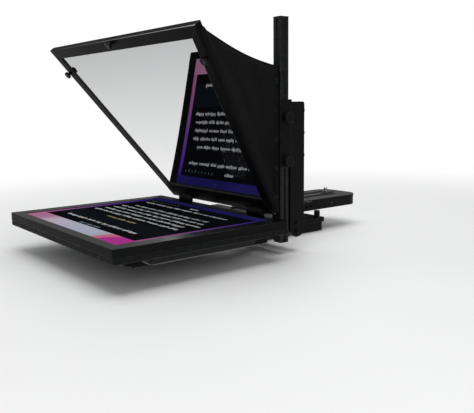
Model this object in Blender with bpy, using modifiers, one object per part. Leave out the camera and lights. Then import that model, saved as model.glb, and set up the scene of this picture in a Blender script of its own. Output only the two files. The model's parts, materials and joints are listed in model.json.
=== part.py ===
"""Studio teleprompter: script monitor, folding mirror frame with fabric hood, slotted mast and camera plate.

Metres, +Z up. The presenter stands at -Y and the camera at +Y. The origin is the centre of the head
plate's underside, where the assembly sits on a tripod head. The plane X = 0 is the symmetry plane of the
monitor, the mirror and the hood; the mast stands on the +X side.
"""
import math

import bmesh
import bpy
from mathutils import Matrix, Vector

GAP = 0.0003
NAME = "teleprompter"

# Monitor: a 19 inch 5:4 panel lying on its back
MONITOR_WIDTH = 0.430
MONITOR_DEPTH = 0.348
MONITOR_FRONT = -0.517
MONITOR_TOP = 0.075
PANEL_THICKNESS = 0.025
SCREEN_WIDTH = 0.376
SCREEN_FRONT = MONITOR_FRONT + 0.019
SCREEN_REAR = MONITOR_FRONT + 0.325
LIP = 0.0011
MONITOR_REAR = MONITOR_FRONT + MONITOR_DEPTH
MONITOR_BOTTOM = MONITOR_TOP - PANEL_THICKNESS
SEAM = MONITOR_TOP - 0.0150
COVER_HALF = 0.203
COVER_FRONT = -0.446
COVER_REAR = -0.217
COVER_BOTTOM = 0.027
COVER_TAPER_X = 0.028
COVER_TAPER_Y = 0.014

# Mirror frame: a trapezoid that leans back from the presenter
FRAME_SLOPE = math.radians(53.3)
FRAME_FOOT = Vector((0.0, -0.1635, 0.0801))
FRAME_LENGTH = 0.392
FRAME_DEPTH = 0.012
HALF_BOTTOM = 0.1724
HALF_TOP = 0.2647
BAR_SIDE = 0.0205
BAR_TOP = 0.021
BAR_BOTTOM = 0.034
REBATE = 0.007
GLASS_LIP = 0.003
GLASS_THICKNESS = 0.003
FOLD_S = 0.005
FOLD_W = -0.006
KNUCKLE_X = (0.0950, 0.1420)
KNUCKLE_R = 0.0055
THUMB_S = 0.335
THUMB_INSET = 0.0060
BAR_ROUNDING = 0.0025

# Hood: rear frame, hinged low on the back of the mirror frame
HOOD_HALF = 0.164
HOOD_TOP = 0.348
HOOD_BOTTOM = 0.099
HOOD_FRONT_Y = -0.161
HOOD_REAR_Y = -0.151
HOOD_BAR = 0.012
HOOD_PIVOT = Vector((0.0, -0.1575, 0.1022))
CLOTH = 0.0015
OPTICAL_AXIS = 0.190
LENS_HOLE_R = 0.086

# Mast and its clamp
MAST_SIZE = 0.020
MAST_X = 0.160
MAST_Y = -0.137
MAST_BOTTOM = 0.025
MAST_TOP = 0.433
CLAMP_BOTTOM = 0.165
CLAMP_TOP = 0.289
KNOB_Z = (0.177, 0.256)
UPRIGHT_X = (0.158, 0.170)
UPRIGHT_Y = (-0.1214, -0.0865)
UPRIGHT_Z = (0.030, 0.285)

# Base and sliding camera plate
HEAD_PLATE = (0.055, -0.085, 0.087, 0.0197)
BEAM_TOP = 0.060
BED_Y = (-0.085, 0.087)
PLATE_HALF = 0.0575
PLATE_Y = (-0.085, 0.204)
PLATE_TOP = 0.072
PLATE_SKIN = 0.0055
FLANGE = 0.005
FLANGE_BOTTOM = 0.0487
SCREW_Y = 0.150
LEVER_PIVOT = Vector((-0.0600, 0.0, 0.038))


# ---------------------------------------------------------------- scene, materials, bodies

def clear_scene():
    for item in list(bpy.data.objects):
        bpy.data.objects.remove(item, do_unlink=True)


def collection(name):
    made = bpy.data.collections.new(name)
    bpy.context.scene.collection.children.link(made)
    return made


def material(name, colour, roughness, metallic=0.0):
    made = bpy.data.materials.new(name)
    made.use_nodes = True
    shader = made.node_tree.nodes["Principled BSDF"]
    shader.inputs["Base Color"].default_value = (*colour, 1.0)
    shader.inputs["Roughness"].default_value = roughness
    shader.inputs["Metallic"].default_value = metallic
    made.diffuse_color = (*colour, 1.0)
    return made


clear_scene()
PARTS = collection(NAME)
CUTTERS = collection("cutters")

FINISHES = {
    "anodised": ((0.020, 0.020, 0.022), 0.42, 0.7),
    "painted": ((0.028, 0.028, 0.030), 0.50, 0.1),
    "bezel": ((0.060, 0.060, 0.064), 0.38, 0.4),
    "steel": ((0.45, 0.45, 0.46), 0.30, 1.0),
    "plastic": ((0.022, 0.022, 0.022), 0.55, 0.0),
    "rubber": ((0.015, 0.015, 0.015), 0.80, 0.0),
    "fabric": ((0.022, 0.022, 0.024), 0.95, 0.0),
    "glass": ((0.72, 0.74, 0.76), 0.03, 0.6),
    "screen": ((0.030, 0.020, 0.060), 0.12, 0.0),
    "board": ((0.020, 0.120, 0.050), 0.50, 0.0),
    "diffuser": ((0.80, 0.80, 0.80), 0.60, 0.0),
}


def body(name, position, parent=None):
    """An empty on the body's joint axis; the body's parts are parented to it."""
    empty = bpy.data.objects.new("body_" + name, None)
    empty.location = position
    PARTS.objects.link(empty)
    bpy.context.view_layer.update()
    if parent:
        attach(empty, parent)
    return empty


def attach(item, parent):
    item.parent = parent
    item.matrix_parent_inverse = parent.matrix_world.inverted()
    bpy.context.view_layer.update()


def finish(item, parent, finish_name, angle=math.radians(35)):
    """Gives a part its own material, smooth shading and its body."""
    colour, roughness, metallic = FINISHES[finish_name]
    item.data.materials.clear()
    item.data.materials.append(material(item.name + "_" + finish_name, colour, roughness, metallic))
    item.data.shade_smooth()
    item.data.set_sharp_from_angle(angle=angle)
    attach(item, parent)
    return item


# ---------------------------------------------------------------- shapes

def add_object(name, mesh, matrix=None, home=None):
    item = bpy.data.objects.new(name, mesh)
    (home or PARTS).objects.link(item)
    item.matrix_world = matrix or Matrix.Identity(4)
    return item


def mesh_from(work, name):
    mesh = bpy.data.meshes.new(name)
    work.to_mesh(mesh)
    work.free()
    return mesh


def box(name, low, high, bevel=0.0, home=None):
    """A block between two corners, its origin at its centre."""
    low = Vector(low)
    high = Vector(high)
    work = bmesh.new()
    bmesh.ops.create_cube(work, size=1.0)
    bmesh.ops.scale(work, vec=high - low, verts=work.verts)
    item = add_object(name, mesh_from(work, name), Matrix.Translation((low + high) / 2), home)
    if bevel:
        round_edges(item, bevel)
    return item


def round_edges(item, width, segments=2):
    edge = item.modifiers.new("bevel", "BEVEL")
    edge.width = width
    edge.segments = segments
    edge.limit_method = "ANGLE"
    edge.angle_limit = math.radians(40)


def turned(name, rings, origin, axis, steps=32, home=None):
    """A turned piece on an axis. rings are (height, radius) pairs from the top down its outer side."""
    work = bmesh.new()
    profile = [(0.0, rings[0][0])] + [(radius, height) for height, radius in rings] + [(0.0, rings[-1][0])]
    points = [work.verts.new((radius, 0.0, height)) for radius, height in profile]
    for first, second in zip(points, points[1:]):
        work.edges.new((first, second))
    place = Matrix.Translation(origin) @ Vector(axis).to_track_quat("Z", "X").to_matrix().to_4x4()
    item = add_object(name, mesh_from(work, name), place, home)
    spin(item, steps)
    return item


def turned_ring(name, loop, origin, axis, steps=48):
    """A hollow turned piece, open along its axis, from a closed loop of (height, radius) pairs."""
    work = bmesh.new()
    points = [work.verts.new((radius, 0.0, height)) for height, radius in loop]
    for index, point in enumerate(points):
        work.edges.new((point, points[(index + 1) % len(points)]))
    place = Matrix.Translation(origin) @ Vector(axis).to_track_quat("Z", "X").to_matrix().to_4x4()
    item = add_object(name, mesh_from(work, name), place)
    spin(item, steps)
    return item


def spin(item, steps):
    screw = item.modifiers.new("screw", "SCREW")
    screw.axis = "Z"
    screw.steps = steps
    screw.render_steps = steps
    screw.use_merge_vertices = True
    screw.merge_threshold = 0.00001
    screw.use_normal_calculate = False


def arc(centre, radius, start, end, count):
    """Points on a circle between two angles in degrees."""
    angles = [math.radians(start + (end - start) * i / (count - 1)) for i in range(count)]
    return [(centre[0] + radius * math.cos(a), centre[1] + radius * math.sin(a)) for a in angles]


def circle(centre, radius, count=24):
    return arc(centre, radius, 0, 360 * (count - 1) / count, count)


def rectangle(x0, x1, y0, y1, radius=0.0, count=5):
    if not radius:
        return [(x0, y0), (x1, y0), (x1, y1), (x0, y1)]
    corners = [(x1 - radius, y1 - radius, 0), (x0 + radius, y1 - radius, 90)]
    corners += [(x0 + radius, y0 + radius, 180), (x1 - radius, y0 + radius, 270)]
    return [p for x, y, start in corners for p in arc((x, y), radius, start, start + 90, count)]


PLANES = {
    "XY": Matrix.Identity(4),
    "YZ": Matrix(((0, 0, 1, 0), (1, 0, 0, 0), (0, 1, 0, 0), (0, 0, 0, 1))),
    "XZ": Matrix(((1, 0, 0, 0), (0, 0, -1, 0), (0, 1, 0, 0), (0, 0, 0, 1))),
}


def plate(name, outlines, plane, start, end, home=None):
    """A flat outline, with any holes, extruded between two places along its plane's normal.

    plane is XY, YZ, XZ or a matrix whose columns are the plane's own axes and origin.
    """
    turn = PLANES[plane] if isinstance(plane, str) else plane
    sign = -1 if plane == "XZ" else 1
    curve = bpy.data.curves.new(name, "CURVE")
    curve.dimensions = "2D"
    curve.fill_mode = "BOTH"
    curve.extrude = abs(end - start) / 2
    for outline in outlines:
        spline = curve.splines.new("POLY")
        spline.points.add(len(outline) - 1)
        for point, (x, y) in zip(spline.points, outline):
            point.co = (x, y, 0, 1)
        spline.use_cyclic_u = True
    item = add_object(name + "_outline", curve, turn @ Matrix.Translation((0, 0, sign * (start + end) / 2)))
    bpy.context.view_layer.update()
    evaluated = item.evaluated_get(bpy.context.evaluated_depsgraph_get())
    mesh = bpy.data.meshes.new_from_object(evaluated)
    mesh.name = name
    work = bmesh.new()
    work.from_mesh(mesh)
    bmesh.ops.remove_doubles(work, verts=work.verts, dist=0.00001)
    bmesh.ops.recalc_face_normals(work, faces=work.faces)
    work.to_mesh(mesh)
    work.free()
    solid = add_object(name, mesh, item.matrix_world.copy(), home)
    bpy.data.objects.remove(item)
    return solid


def join(item, piece):
    """Makes a piece that overlaps a part one solid with it."""
    boolean(item, piece, "UNION")


def boolean(item, cutter, operation="DIFFERENCE"):
    cutter.hide_render = True
    cutter.display_type = "WIRE"
    change = item.modifiers.new(operation.lower(), "BOOLEAN")
    change.operation = operation
    change.solver = "EXACT"
    change.object = cutter


def cut_box(item, low, high):
    boolean(item, box(item.name + "_cut_%d" % len(CUTTERS.objects), low, high, home=CUTTERS))


def cut_hole(item, start, end, radius, steps=24):
    """A round hole between two points."""
    start = Vector(start)
    end = Vector(end)
    length = (end - start).length
    name = item.name + "_hole_%d" % len(CUTTERS.objects)
    rings = [(length, radius), (0.0, radius)]
    boolean(item, turned(name, rings, start, end - start, steps, home=CUTTERS))


# ---------------------------------------------------------------- mirror frame's own axes

ALONG = Vector((0.0, -math.cos(FRAME_SLOPE), math.sin(FRAME_SLOPE)))
FACING = Vector((0.0, -math.sin(FRAME_SLOPE), -math.cos(FRAME_SLOPE)))
FRAME_AXES = Matrix.Translation(FRAME_FOOT) @ Matrix((
    (1.0, ALONG.x, FACING.x), (0.0, ALONG.y, FACING.y), (0.0, ALONG.z, FACING.z))).to_4x4()


def on_frame(x, s, w):
    """A point by its place across the frame, up its slope, and out of its front face."""
    return FRAME_AXES @ Vector((x, s, w))


def half_width(s):
    return HALF_BOTTOM + (HALF_TOP - HALF_BOTTOM) * s / FRAME_LENGTH


def trapezoid(s0, s1, inset):
    low = half_width(s0) - inset
    high = half_width(s1) - inset
    return [(-low, s0), (low, s0), (high, s1), (-high, s1)]


FOLD_AXIS = on_frame(0.0, FOLD_S, FOLD_W)

BASE = body("base", (0, 0, 0))
CAMERA_PLATE = body("camera_plate", (0, 0, PLATE_TOP), BASE)
MAST = body("mast", (MAST_X, MAST_Y, MAST_BOTTOM), BASE)
GLASS_FRAME = body("glass_frame", FOLD_AXIS, MAST)
HOOD_FRAME = body("hood_frame", HOOD_PIVOT, GLASS_FRAME)


# ---------------------------------------------------------------- base

def make_base():
    half, front, rear, top = HEAD_PLATE
    holes = [circle((0, y), 0.0050) for y in (-0.055, 0.055)]
    head = plate("head_plate", [rectangle(-half, half, front, rear, 0.008), *holes], "XY", 0.0, top)
    round_edges(head, 0.0010, 1)
    finish(head, BASE, "anodised")

    deck_front = -0.117
    deck_top, post_top = 0.0297, 0.0460
    outline = rectangle(-0.0605, 0.0605, deck_front, rear, 0.006)
    deck = plate("riser_base", [outline], "XY", top + GAP, deck_top)
    round_edges(deck, 0.0008, 1)
    sunk = 0.002
    for index, (x, y) in enumerate((x, y) for x in (-0.0535, 0.0535) for y in (-0.0675, 0.0675)):
        height = post_top - deck_top + sunk
        rings = [(height, 0.0058), (height - 0.0007, 0.0065), (0.0, 0.0065)]
        join(deck, turned("post_%d" % index, rings, (x, y, deck_top - sunk), (0, 0, 1), 24, CUTTERS))
    finish(deck, BASE, "anodised")

    ledge = 0.0562
    neck, wing, bottom, bed_top = 0.046, 0.052, 0.0463, PLATE_TOP - PLATE_SKIN - 0.0005
    section = [(-neck, bottom), (neck, bottom), (neck, ledge), (wing, ledge)]
    section += [(wing, bed_top), (-wing, bed_top), (-wing, ledge), (-neck, ledge)]
    bed = plate("slide_bed", [section], "XZ", *BED_Y)
    finish(bed, BASE, "anodised")

    block = box("lock_block", (LEVER_PIVOT.x, -0.012, 0.0300), (-0.040, 0.012, 0.0460), 0.0010)
    finish(block, BASE, "anodised")

    beam = box("cross_beam", (-0.100, -0.117, 0.0300), (UPRIGHT_X[0] - GAP, -0.091, BEAM_TOP), 0.0015)
    for x in (-0.075, -0.045, 0.045, 0.075):
        cut_hole(beam, (x, -0.130, 0.045), (x, -0.080, 0.045), 0.0045, 16)
    finish(beam, BASE, "anodised")

    y0, y1 = UPRIGHT_Y
    z0, z1 = UPRIGHT_Z
    rounding = (y1 - y0) / 2 - 0.001
    middle = (y0 + y1) / 2
    outline = arc((middle, z0 + rounding), (y1 - y0) / 2, 180, 360, 17) + [(y1, z1 - 0.003)]
    outline += [(y1 - 0.003, z1), (y0 + 0.003, z1), (y0, z1 - 0.003)]
    upright = plate("upright", [outline], "YZ", *UPRIGHT_X)
    round_edges(upright, 0.0008, 1)
    finish(upright, BASE, "anodised")


def make_clamp():
    thick_wall, thin_wall = 0.0045, 0.0022
    inner_x = (MAST_X - MAST_SIZE / 2 - GAP, MAST_X + MAST_SIZE / 2 + GAP)
    outer_x = (inner_x[0] - thick_wall, inner_x[1] + thin_wall)
    open_y, web_y, rear_y = -0.1465, MAST_Y + MAST_SIZE / 2 + GAP, UPRIGHT_Y[0] - GAP
    tongue, reach = 0.0027, 0.0015
    outline = [(outer_x[0], open_y), (inner_x[0], open_y)]
    outline += [(inner_x[0], MAST_Y - tongue), (inner_x[0] + reach, MAST_Y - tongue)]
    outline += [(inner_x[0] + reach, MAST_Y + tongue), (inner_x[0], MAST_Y + tongue)]
    outline += [(inner_x[0], web_y), (inner_x[1], web_y)]
    outline += [(inner_x[1], MAST_Y + tongue), (inner_x[1] - reach, MAST_Y + tongue)]
    outline += [(inner_x[1] - reach, MAST_Y - tongue), (inner_x[1], MAST_Y - tongue)]
    outline += [(inner_x[1], open_y), (outer_x[1], open_y), (outer_x[1], rear_y), (outer_x[0], rear_y)]
    channel = plate("clamp_channel", [outline], "XY", CLAMP_BOTTOM, CLAMP_TOP)
    for z in KNOB_Z:
        cut_hole(channel, (MAST_X, MAST_Y, z), (outer_x[1] + 0.01, MAST_Y, z), 0.0031)
    finish(channel, BASE, "anodised")

    stud_start = MAST_X + 0.0055
    hub = outer_x[1] + GAP - stud_start
    for label, z in zip(("lower", "upper"), KNOB_Z):
        rings = [(0.0200, 0.0095), (0.0195, 0.0106), (0.0185, 0.0110), (0.0142, 0.0110), (0.0134, 0.0104)]
        rings += [(0.0131, 0.0078), (hub, 0.0078), (hub, 0.0026), (0.0, 0.0026)]
        knob = turned("clamp_knob_" + label, rings, (stud_start, MAST_Y, z), (1, 0, 0), 32)
        pivot = body("clamp_knob_" + label, (MAST_X, MAST_Y, z), BASE)
        finish(knob, pivot, "plastic")


# ---------------------------------------------------------------- sliding camera plate

def make_camera_plate():
    y0, y1 = PLATE_Y
    corner = 0.034
    outline = [(-PLATE_HALF, y0), (PLATE_HALF, y0)]
    outline += arc((PLATE_HALF - corner, y1 - corner), corner, 0, 90, 9)
    outline += arc((corner - PLATE_HALF, y1 - corner), corner, 90, 180, 9)
    slot = arc((0.0, SCREW_Y - 0.012), 0.0054, 180, 360, 9) + arc((0.0, SCREW_Y + 0.026), 0.0054, 0, 180, 9)
    small = [circle((x, y), 0.0028, 12) for x in (-0.03, 0.03) for y in (-0.060, 0.0, 0.060)]
    camera_plate = plate("camera_plate", [outline, slot, *small], "XY", FLANGE_BOTTOM, PLATE_TOP)
    inner = PLATE_HALF - FLANGE
    cut_box(camera_plate, (-inner, y0 - 0.05, 0.030), (inner, y1 + 0.05, PLATE_TOP - PLATE_SKIN))
    for y in (0.031, 0.043, 0.114):
        cut_hole(camera_plate, (-0.08, y, 0.058), (0.08, y, 0.058), 0.0030, 16)
    finish(camera_plate, CAMERA_PLATE, "anodised")

    for label, side in (("left", -1), ("right", 1)):
        edge = sorted((side * 0.0466, side * (inner - GAP)))
        keeper = box("plate_keeper_" + label, (edge[0], -0.083, 0.0490), (edge[1], 0.140, 0.0556), 0.0005)
        finish(keeper, CAMERA_PLATE, "steel")

    rings = [(0.0330, 0.0035), (0.0315, 0.0047), (0.0123, 0.0047), (0.0123, 0.0120), (0.0113, 0.0130)]
    rings += [(0.0010, 0.0130), (0.0, 0.0120)]
    pivot = body("camera_screw", (0, SCREW_Y, PLATE_TOP), CAMERA_PLATE)
    finish(turned("camera_screw", rings, (0, SCREW_Y, 0.0520), (0, 0, 1), 32), pivot, "steel")

    hub = circle((0.0, 0.0), 0.008)
    root, tip, half_root, half_tip = 0.0070, 0.046, 0.0034, 0.0028
    outline = [p for p in hub if p[0] < root]
    outline += [(root + 0.0005, -half_root), (tip, -half_tip)]
    outline += [*arc((tip, 0.0), half_tip, -75, 75, 7), (tip, half_tip), (root + 0.0005, half_root)]
    outline.sort(key=lambda p: math.atan2(p[1], p[0] - root / 2))
    place = Matrix.Translation((0.0, LEVER_PIVOT.y, LEVER_PIVOT.z)) @ PLANES["YZ"]
    lever = plate("plate_lock_lever", [outline], place, LEVER_PIVOT.x - 0.0090, LEVER_PIVOT.x - GAP)
    pivot = body("plate_lock", LEVER_PIVOT, BASE)
    finish(lever, pivot, "plastic")


# ---------------------------------------------------------------- mast

def slot_profile(centre, size):
    """Outline of a square T-slotted extrusion with one groove in each face."""
    half = size / 2
    mouth, lip, wide, floor, chamfer = 0.0031, 0.0018, 0.0055, 0.0039, 0.0008
    face = [(half, chamfer - half), (half, -mouth), (half - lip, -mouth), (half - lip, -wide)]
    face += [(half - lip - 0.0020, -wide), (floor, 0.0023 - wide), (floor, wide - 0.0023)]
    face += [(half - lip - 0.0020, wide), (half - lip, wide), (half - lip, mouth), (half, mouth)]
    face += [(half, half - chamfer)]
    outline = []
    for quarter in range(4):
        c, s = ((1, 0), (0, 1), (-1, 0), (0, -1))[quarter]
        outline += [(centre[0] + x * c - y * s, centre[1] + x * s + y * c) for x, y in face]
    return [outline, circle(centre, 0.0021, 12)]


def make_mast():
    mast = plate("mast", slot_profile((MAST_X, MAST_Y), MAST_SIZE), "XY", MAST_BOTTOM, MAST_TOP)
    finish(mast, MAST, "anodised")
    half = MAST_SIZE / 2
    cap_skin = 0.0022
    for label, low in (("top", MAST_TOP + GAP), ("bottom", MAST_BOTTOM - GAP - cap_skin)):
        corner = (MAST_X - half, MAST_Y - half, low)
        cap = box("mast_cap_" + label, corner, (MAST_X + half, MAST_Y + half, low + cap_skin), 0.0006)
        finish(cap, MAST, "plastic")

    bar_z = 0.037
    bar_end = MAST_X - half - GAP
    bar = plate("cross_bar", slot_profile((MAST_Y, bar_z), MAST_SIZE), "YZ", -0.120, bar_end)
    finish(bar, MAST, "anodised")

    floor = bar_z + half + GAP
    leg = 0.0050
    reach, height, gusset = 0.040, 0.048, 0.020
    outline = [(bar_end - reach, floor), (bar_end, floor), (bar_end, floor + height)]
    outline += [(bar_end - leg, floor + height), (bar_end - leg, floor + gusset)]
    outline += [(bar_end - gusset, floor + leg), (bar_end - reach, floor + leg)]
    bracket = plate("mast_foot_bracket", [outline], "XZ", MAST_Y - 0.009, MAST_Y + 0.009)
    round_edges(bracket, 0.0006, 1)
    finish(bracket, MAST, "anodised")

    rail_top = bar_z - half - GAP
    for label, side in (("left", -1), ("right", 1)):
        edge = sorted((side * 0.090, side * 0.110))
        corner = (edge[0], -0.430, rail_top - 0.016)
        rail = box("monitor_rail_" + label, corner, (edge[1], -0.127, rail_top), 0.0012)
        finish(rail, MAST, "anodised")


# ---------------------------------------------------------------- monitor

def make_monitor():
    half = MONITOR_WIDTH / 2
    screen = SCREEN_WIDTH / 2
    outer = rectangle(-half, half, MONITOR_FRONT, MONITOR_REAR, 0.003, 3)
    window = rectangle(-screen, screen, SCREEN_FRONT, SCREEN_REAR)
    bezel = plate("monitor_bezel", [outer, window], "XY", SEAM, MONITOR_TOP)
    pocket = (half - 0.010, MONITOR_FRONT + 0.008, MONITOR_REAR - 0.010)
    cut_box(bezel, (-pocket[0], pocket[1], SEAM - 0.01), (pocket[0], pocket[2], MONITOR_TOP - LIP))
    round_edges(bezel, 0.0005, 1)
    finish(bezel, MAST, "bezel")

    inset = 0.0005
    tray = box("monitor_tray", (inset - half, MONITOR_FRONT + inset, MONITOR_BOTTOM),
               (half - inset, MONITOR_REAR - inset, SEAM - GAP), 0.0015)
    cut_box(tray, (-pocket[0], pocket[1], MONITOR_BOTTOM + 0.002), (pocket[0], pocket[2], SEAM + 0.01))
    cut_box(tray, (-0.150, -0.400, MONITOR_BOTTOM - 0.01), (0.150, -0.260, SEAM))
    finish(tray, MAST, "painted")

    fit = 0.0005
    glass_top = MONITOR_TOP - LIP - GAP
    layers = (("lcd_panel", glass_top - 0.0030, glass_top, "screen"),
              ("backlight_unit", SEAM + 0.0008, glass_top - 0.0033, "diffuser"),
              ("monitor_chassis", SEAM - 0.0025, SEAM + 0.0004, "steel"))
    for name, low, high, look in layers:
        layer = box(name, (fit - pocket[0], pocket[1] + fit, low), (pocket[0] - fit, pocket[2] - fit, high))
        finish(layer, MAST, look)

    cover_top = MONITOR_BOTTOM - GAP
    cover = box("rear_cover", (-COVER_HALF, COVER_FRONT, COVER_BOTTOM),
                (COVER_HALF, COVER_REAR, cover_top + 0.008))
    for corner in cover.data.vertices:
        if corner.co.z < 0:
            corner.co.x -= math.copysign(COVER_TAPER_X, corner.co.x)
            corner.co.y += COVER_TAPER_Y if corner.co.y < 0 else 0.0
    round_edges(cover, 0.0060, 1)
    skin = 0.002
    cut_box(cover, (-COVER_HALF - 0.01, COVER_FRONT - 0.01, cover_top),
            (COVER_HALF + 0.01, COVER_REAR + 0.01, 0.08))
    room = COVER_HALF - COVER_TAPER_X - 0.005
    cut_box(cover, (-room, COVER_FRONT + COVER_TAPER_Y + 0.006, COVER_BOTTOM + skin),
            (room, COVER_REAR - skin, cover_top + 0.01))
    for row in range(9):
        x = -0.072 + 0.018 * row
        cut_box(cover, (x - 0.0025, -0.380, COVER_BOTTOM - 0.01),
                (x + 0.0025, -0.290, COVER_BOTTOM + 0.005))
    finish(cover, MAST, "plastic")

    board_z, board_skin, sunk = 0.0370, 0.0016, 0.0005
    board_top = board_z + board_skin
    driver = box("driver_board", (-0.140, -0.400, board_z), (0.060, -0.270, board_top))
    chips = ((-0.100, -0.370, 0.016, 0.0020), (-0.040, -0.350, 0.012, 0.0020),
             (0.020, -0.300, 0.009, 0.0060))
    for index, (x, y, size, height) in enumerate(chips):
        low = (x - size, y - size, board_top - sunk)
        join(driver, box("chip_%d" % index, low, (x + size, y + size, board_top + height), home=CUTTERS))
    finish(driver, MAST, "board")
    supply = box("power_board", (0.080, -0.400, board_z), (0.165, -0.250, board_top))
    coil_low = (0.095, -0.385, board_top - sunk)
    join(supply, box("coil", coil_low, (0.125, -0.355, board_top + 0.0080), home=CUTTERS))
    for index, x in enumerate((0.136, 0.154)):
        rings = [(0.009, 0.0055), (0.0, 0.0055)]
        place = (x, -0.300, board_top - sunk)
        join(supply, turned("capacitor_%d" % index, rings, place, (0, 0, 1), 16, CUTTERS))
    finish(supply, MAST, "board")

    panel_y, panel_skin = COVER_REAR + GAP, 0.0015
    face = panel_y + panel_skin
    outline = rectangle(-0.150, 0.150, 0.0345, 0.0480, 0.001, 3)
    panel = plate("connector_panel", [outline], "XZ", panel_y, face)
    for index, x in enumerate((0.030, 0.060, 0.090)):
        rings = [(0.0130, 0.0040), (0.0125, 0.0048), (0.0065, 0.0048), (0.0060, 0.0060), (0.0, 0.0060)]
        join(panel, turned("socket_%d" % index, rings, (x, face - sunk, 0.0413), (0, 1, 0), 20, CUTTERS))
    finish(panel, MAST, "steel")
    face += GAP
    outline = rectangle(-0.090, -0.066, 0.0352, 0.0472, 0.002, 4)
    inlet = plate("power_socket", [outline], "XZ", face, face + 0.0070)
    cut_box(inlet, (-0.087, face + 0.0020, 0.0382), (-0.069, face + 0.0100, 0.0442))
    finish(inlet, MAST, "plastic")

    rocker = Vector((-0.120, face + 0.0030, 0.0412))
    pivot = body("power_switch", rocker, MAST)
    outline = [(-0.0050, -0.0014), (-0.0046, 0.0022), (0.0, 0.0010), (0.0046, 0.0022), (0.0050, -0.0014)]
    turn = Matrix(((0, 0, 1), (0, 1, 0), (-1, 0, 0))).to_4x4()
    switch = plate("power_switch", [outline], Matrix.Translation(rocker) @ turn, -0.007, 0.007)
    finish(switch, pivot, "plastic")

    foot_x, foot_y, foot_bottom = 0.188, -0.472, 0.0400
    for label, side in (("left", -1), ("right", 1)):
        low = (side * foot_x - 0.010, foot_y - 0.014, foot_bottom)
        high = (side * foot_x + 0.010, foot_y + 0.014, MONITOR_BOTTOM - GAP)
        finish(box("monitor_foot_" + label, low, high, 0.0015), MAST, "rubber")


# ---------------------------------------------------------------- fold hinge

def make_hinge():
    y, z = FOLD_AXIS.y, FOLD_AXIS.z
    rear = MONITOR_REAR + GAP
    skin, low = 0.005, MONITOR_BOTTOM + 0.003
    outline = [(rear, low), (rear + skin, low), (rear + skin, z - 0.0095)]
    outline += arc((y, z), KNUCKLE_R, -65, 200, 17) + [(rear, z - 0.0078)]
    bore = circle((y, z), 0.0023, 16)
    for label, side in (("left", -1), ("right", 1)):
        span = sorted(side * x for x in KNUCKLE_X)
        finish(plate("hinge_block_" + label, [outline, bore], "YZ", *span), MAST, "anodised")
        start = (min(span) - 0.011, y, z)
        length = KNUCKLE_X[1] - KNUCKLE_X[0] + 0.022
        pin = turned("hinge_pin_" + label, [(length, 0.0020), (0.0, 0.0020)], start, (1, 0, 0), 16)
        finish(pin, MAST, "steel")


# ---------------------------------------------------------------- mirror frame

def round_outer_rim(bar):
    """Rounds the front edge of a bar where it is on the frame's outer sides or top."""
    work = bmesh.new()
    work.from_mesh(bar.data)
    front = max(v.co.z for v in work.verts)

    def on_rim(point):
        at_side = abs(point.x) > half_width(point.y) - GAP
        at_top = point.y > FRAME_LENGTH - GAP
        return point.z > front - GAP and (at_side or at_top)

    def runs_on_rim(edge):
        first, second = (v.co for v in edge.verts)
        return on_rim(first) and on_rim(second) and on_rim((first + second) / 2)
    rim = [edge for edge in work.edges if runs_on_rim(edge)]
    bmesh.ops.bevel(work, geom=rim, offset=BAR_ROUNDING, segments=3, profile=0.5, affect="EDGES")
    work.to_mesh(bar.data)
    work.free()


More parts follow.
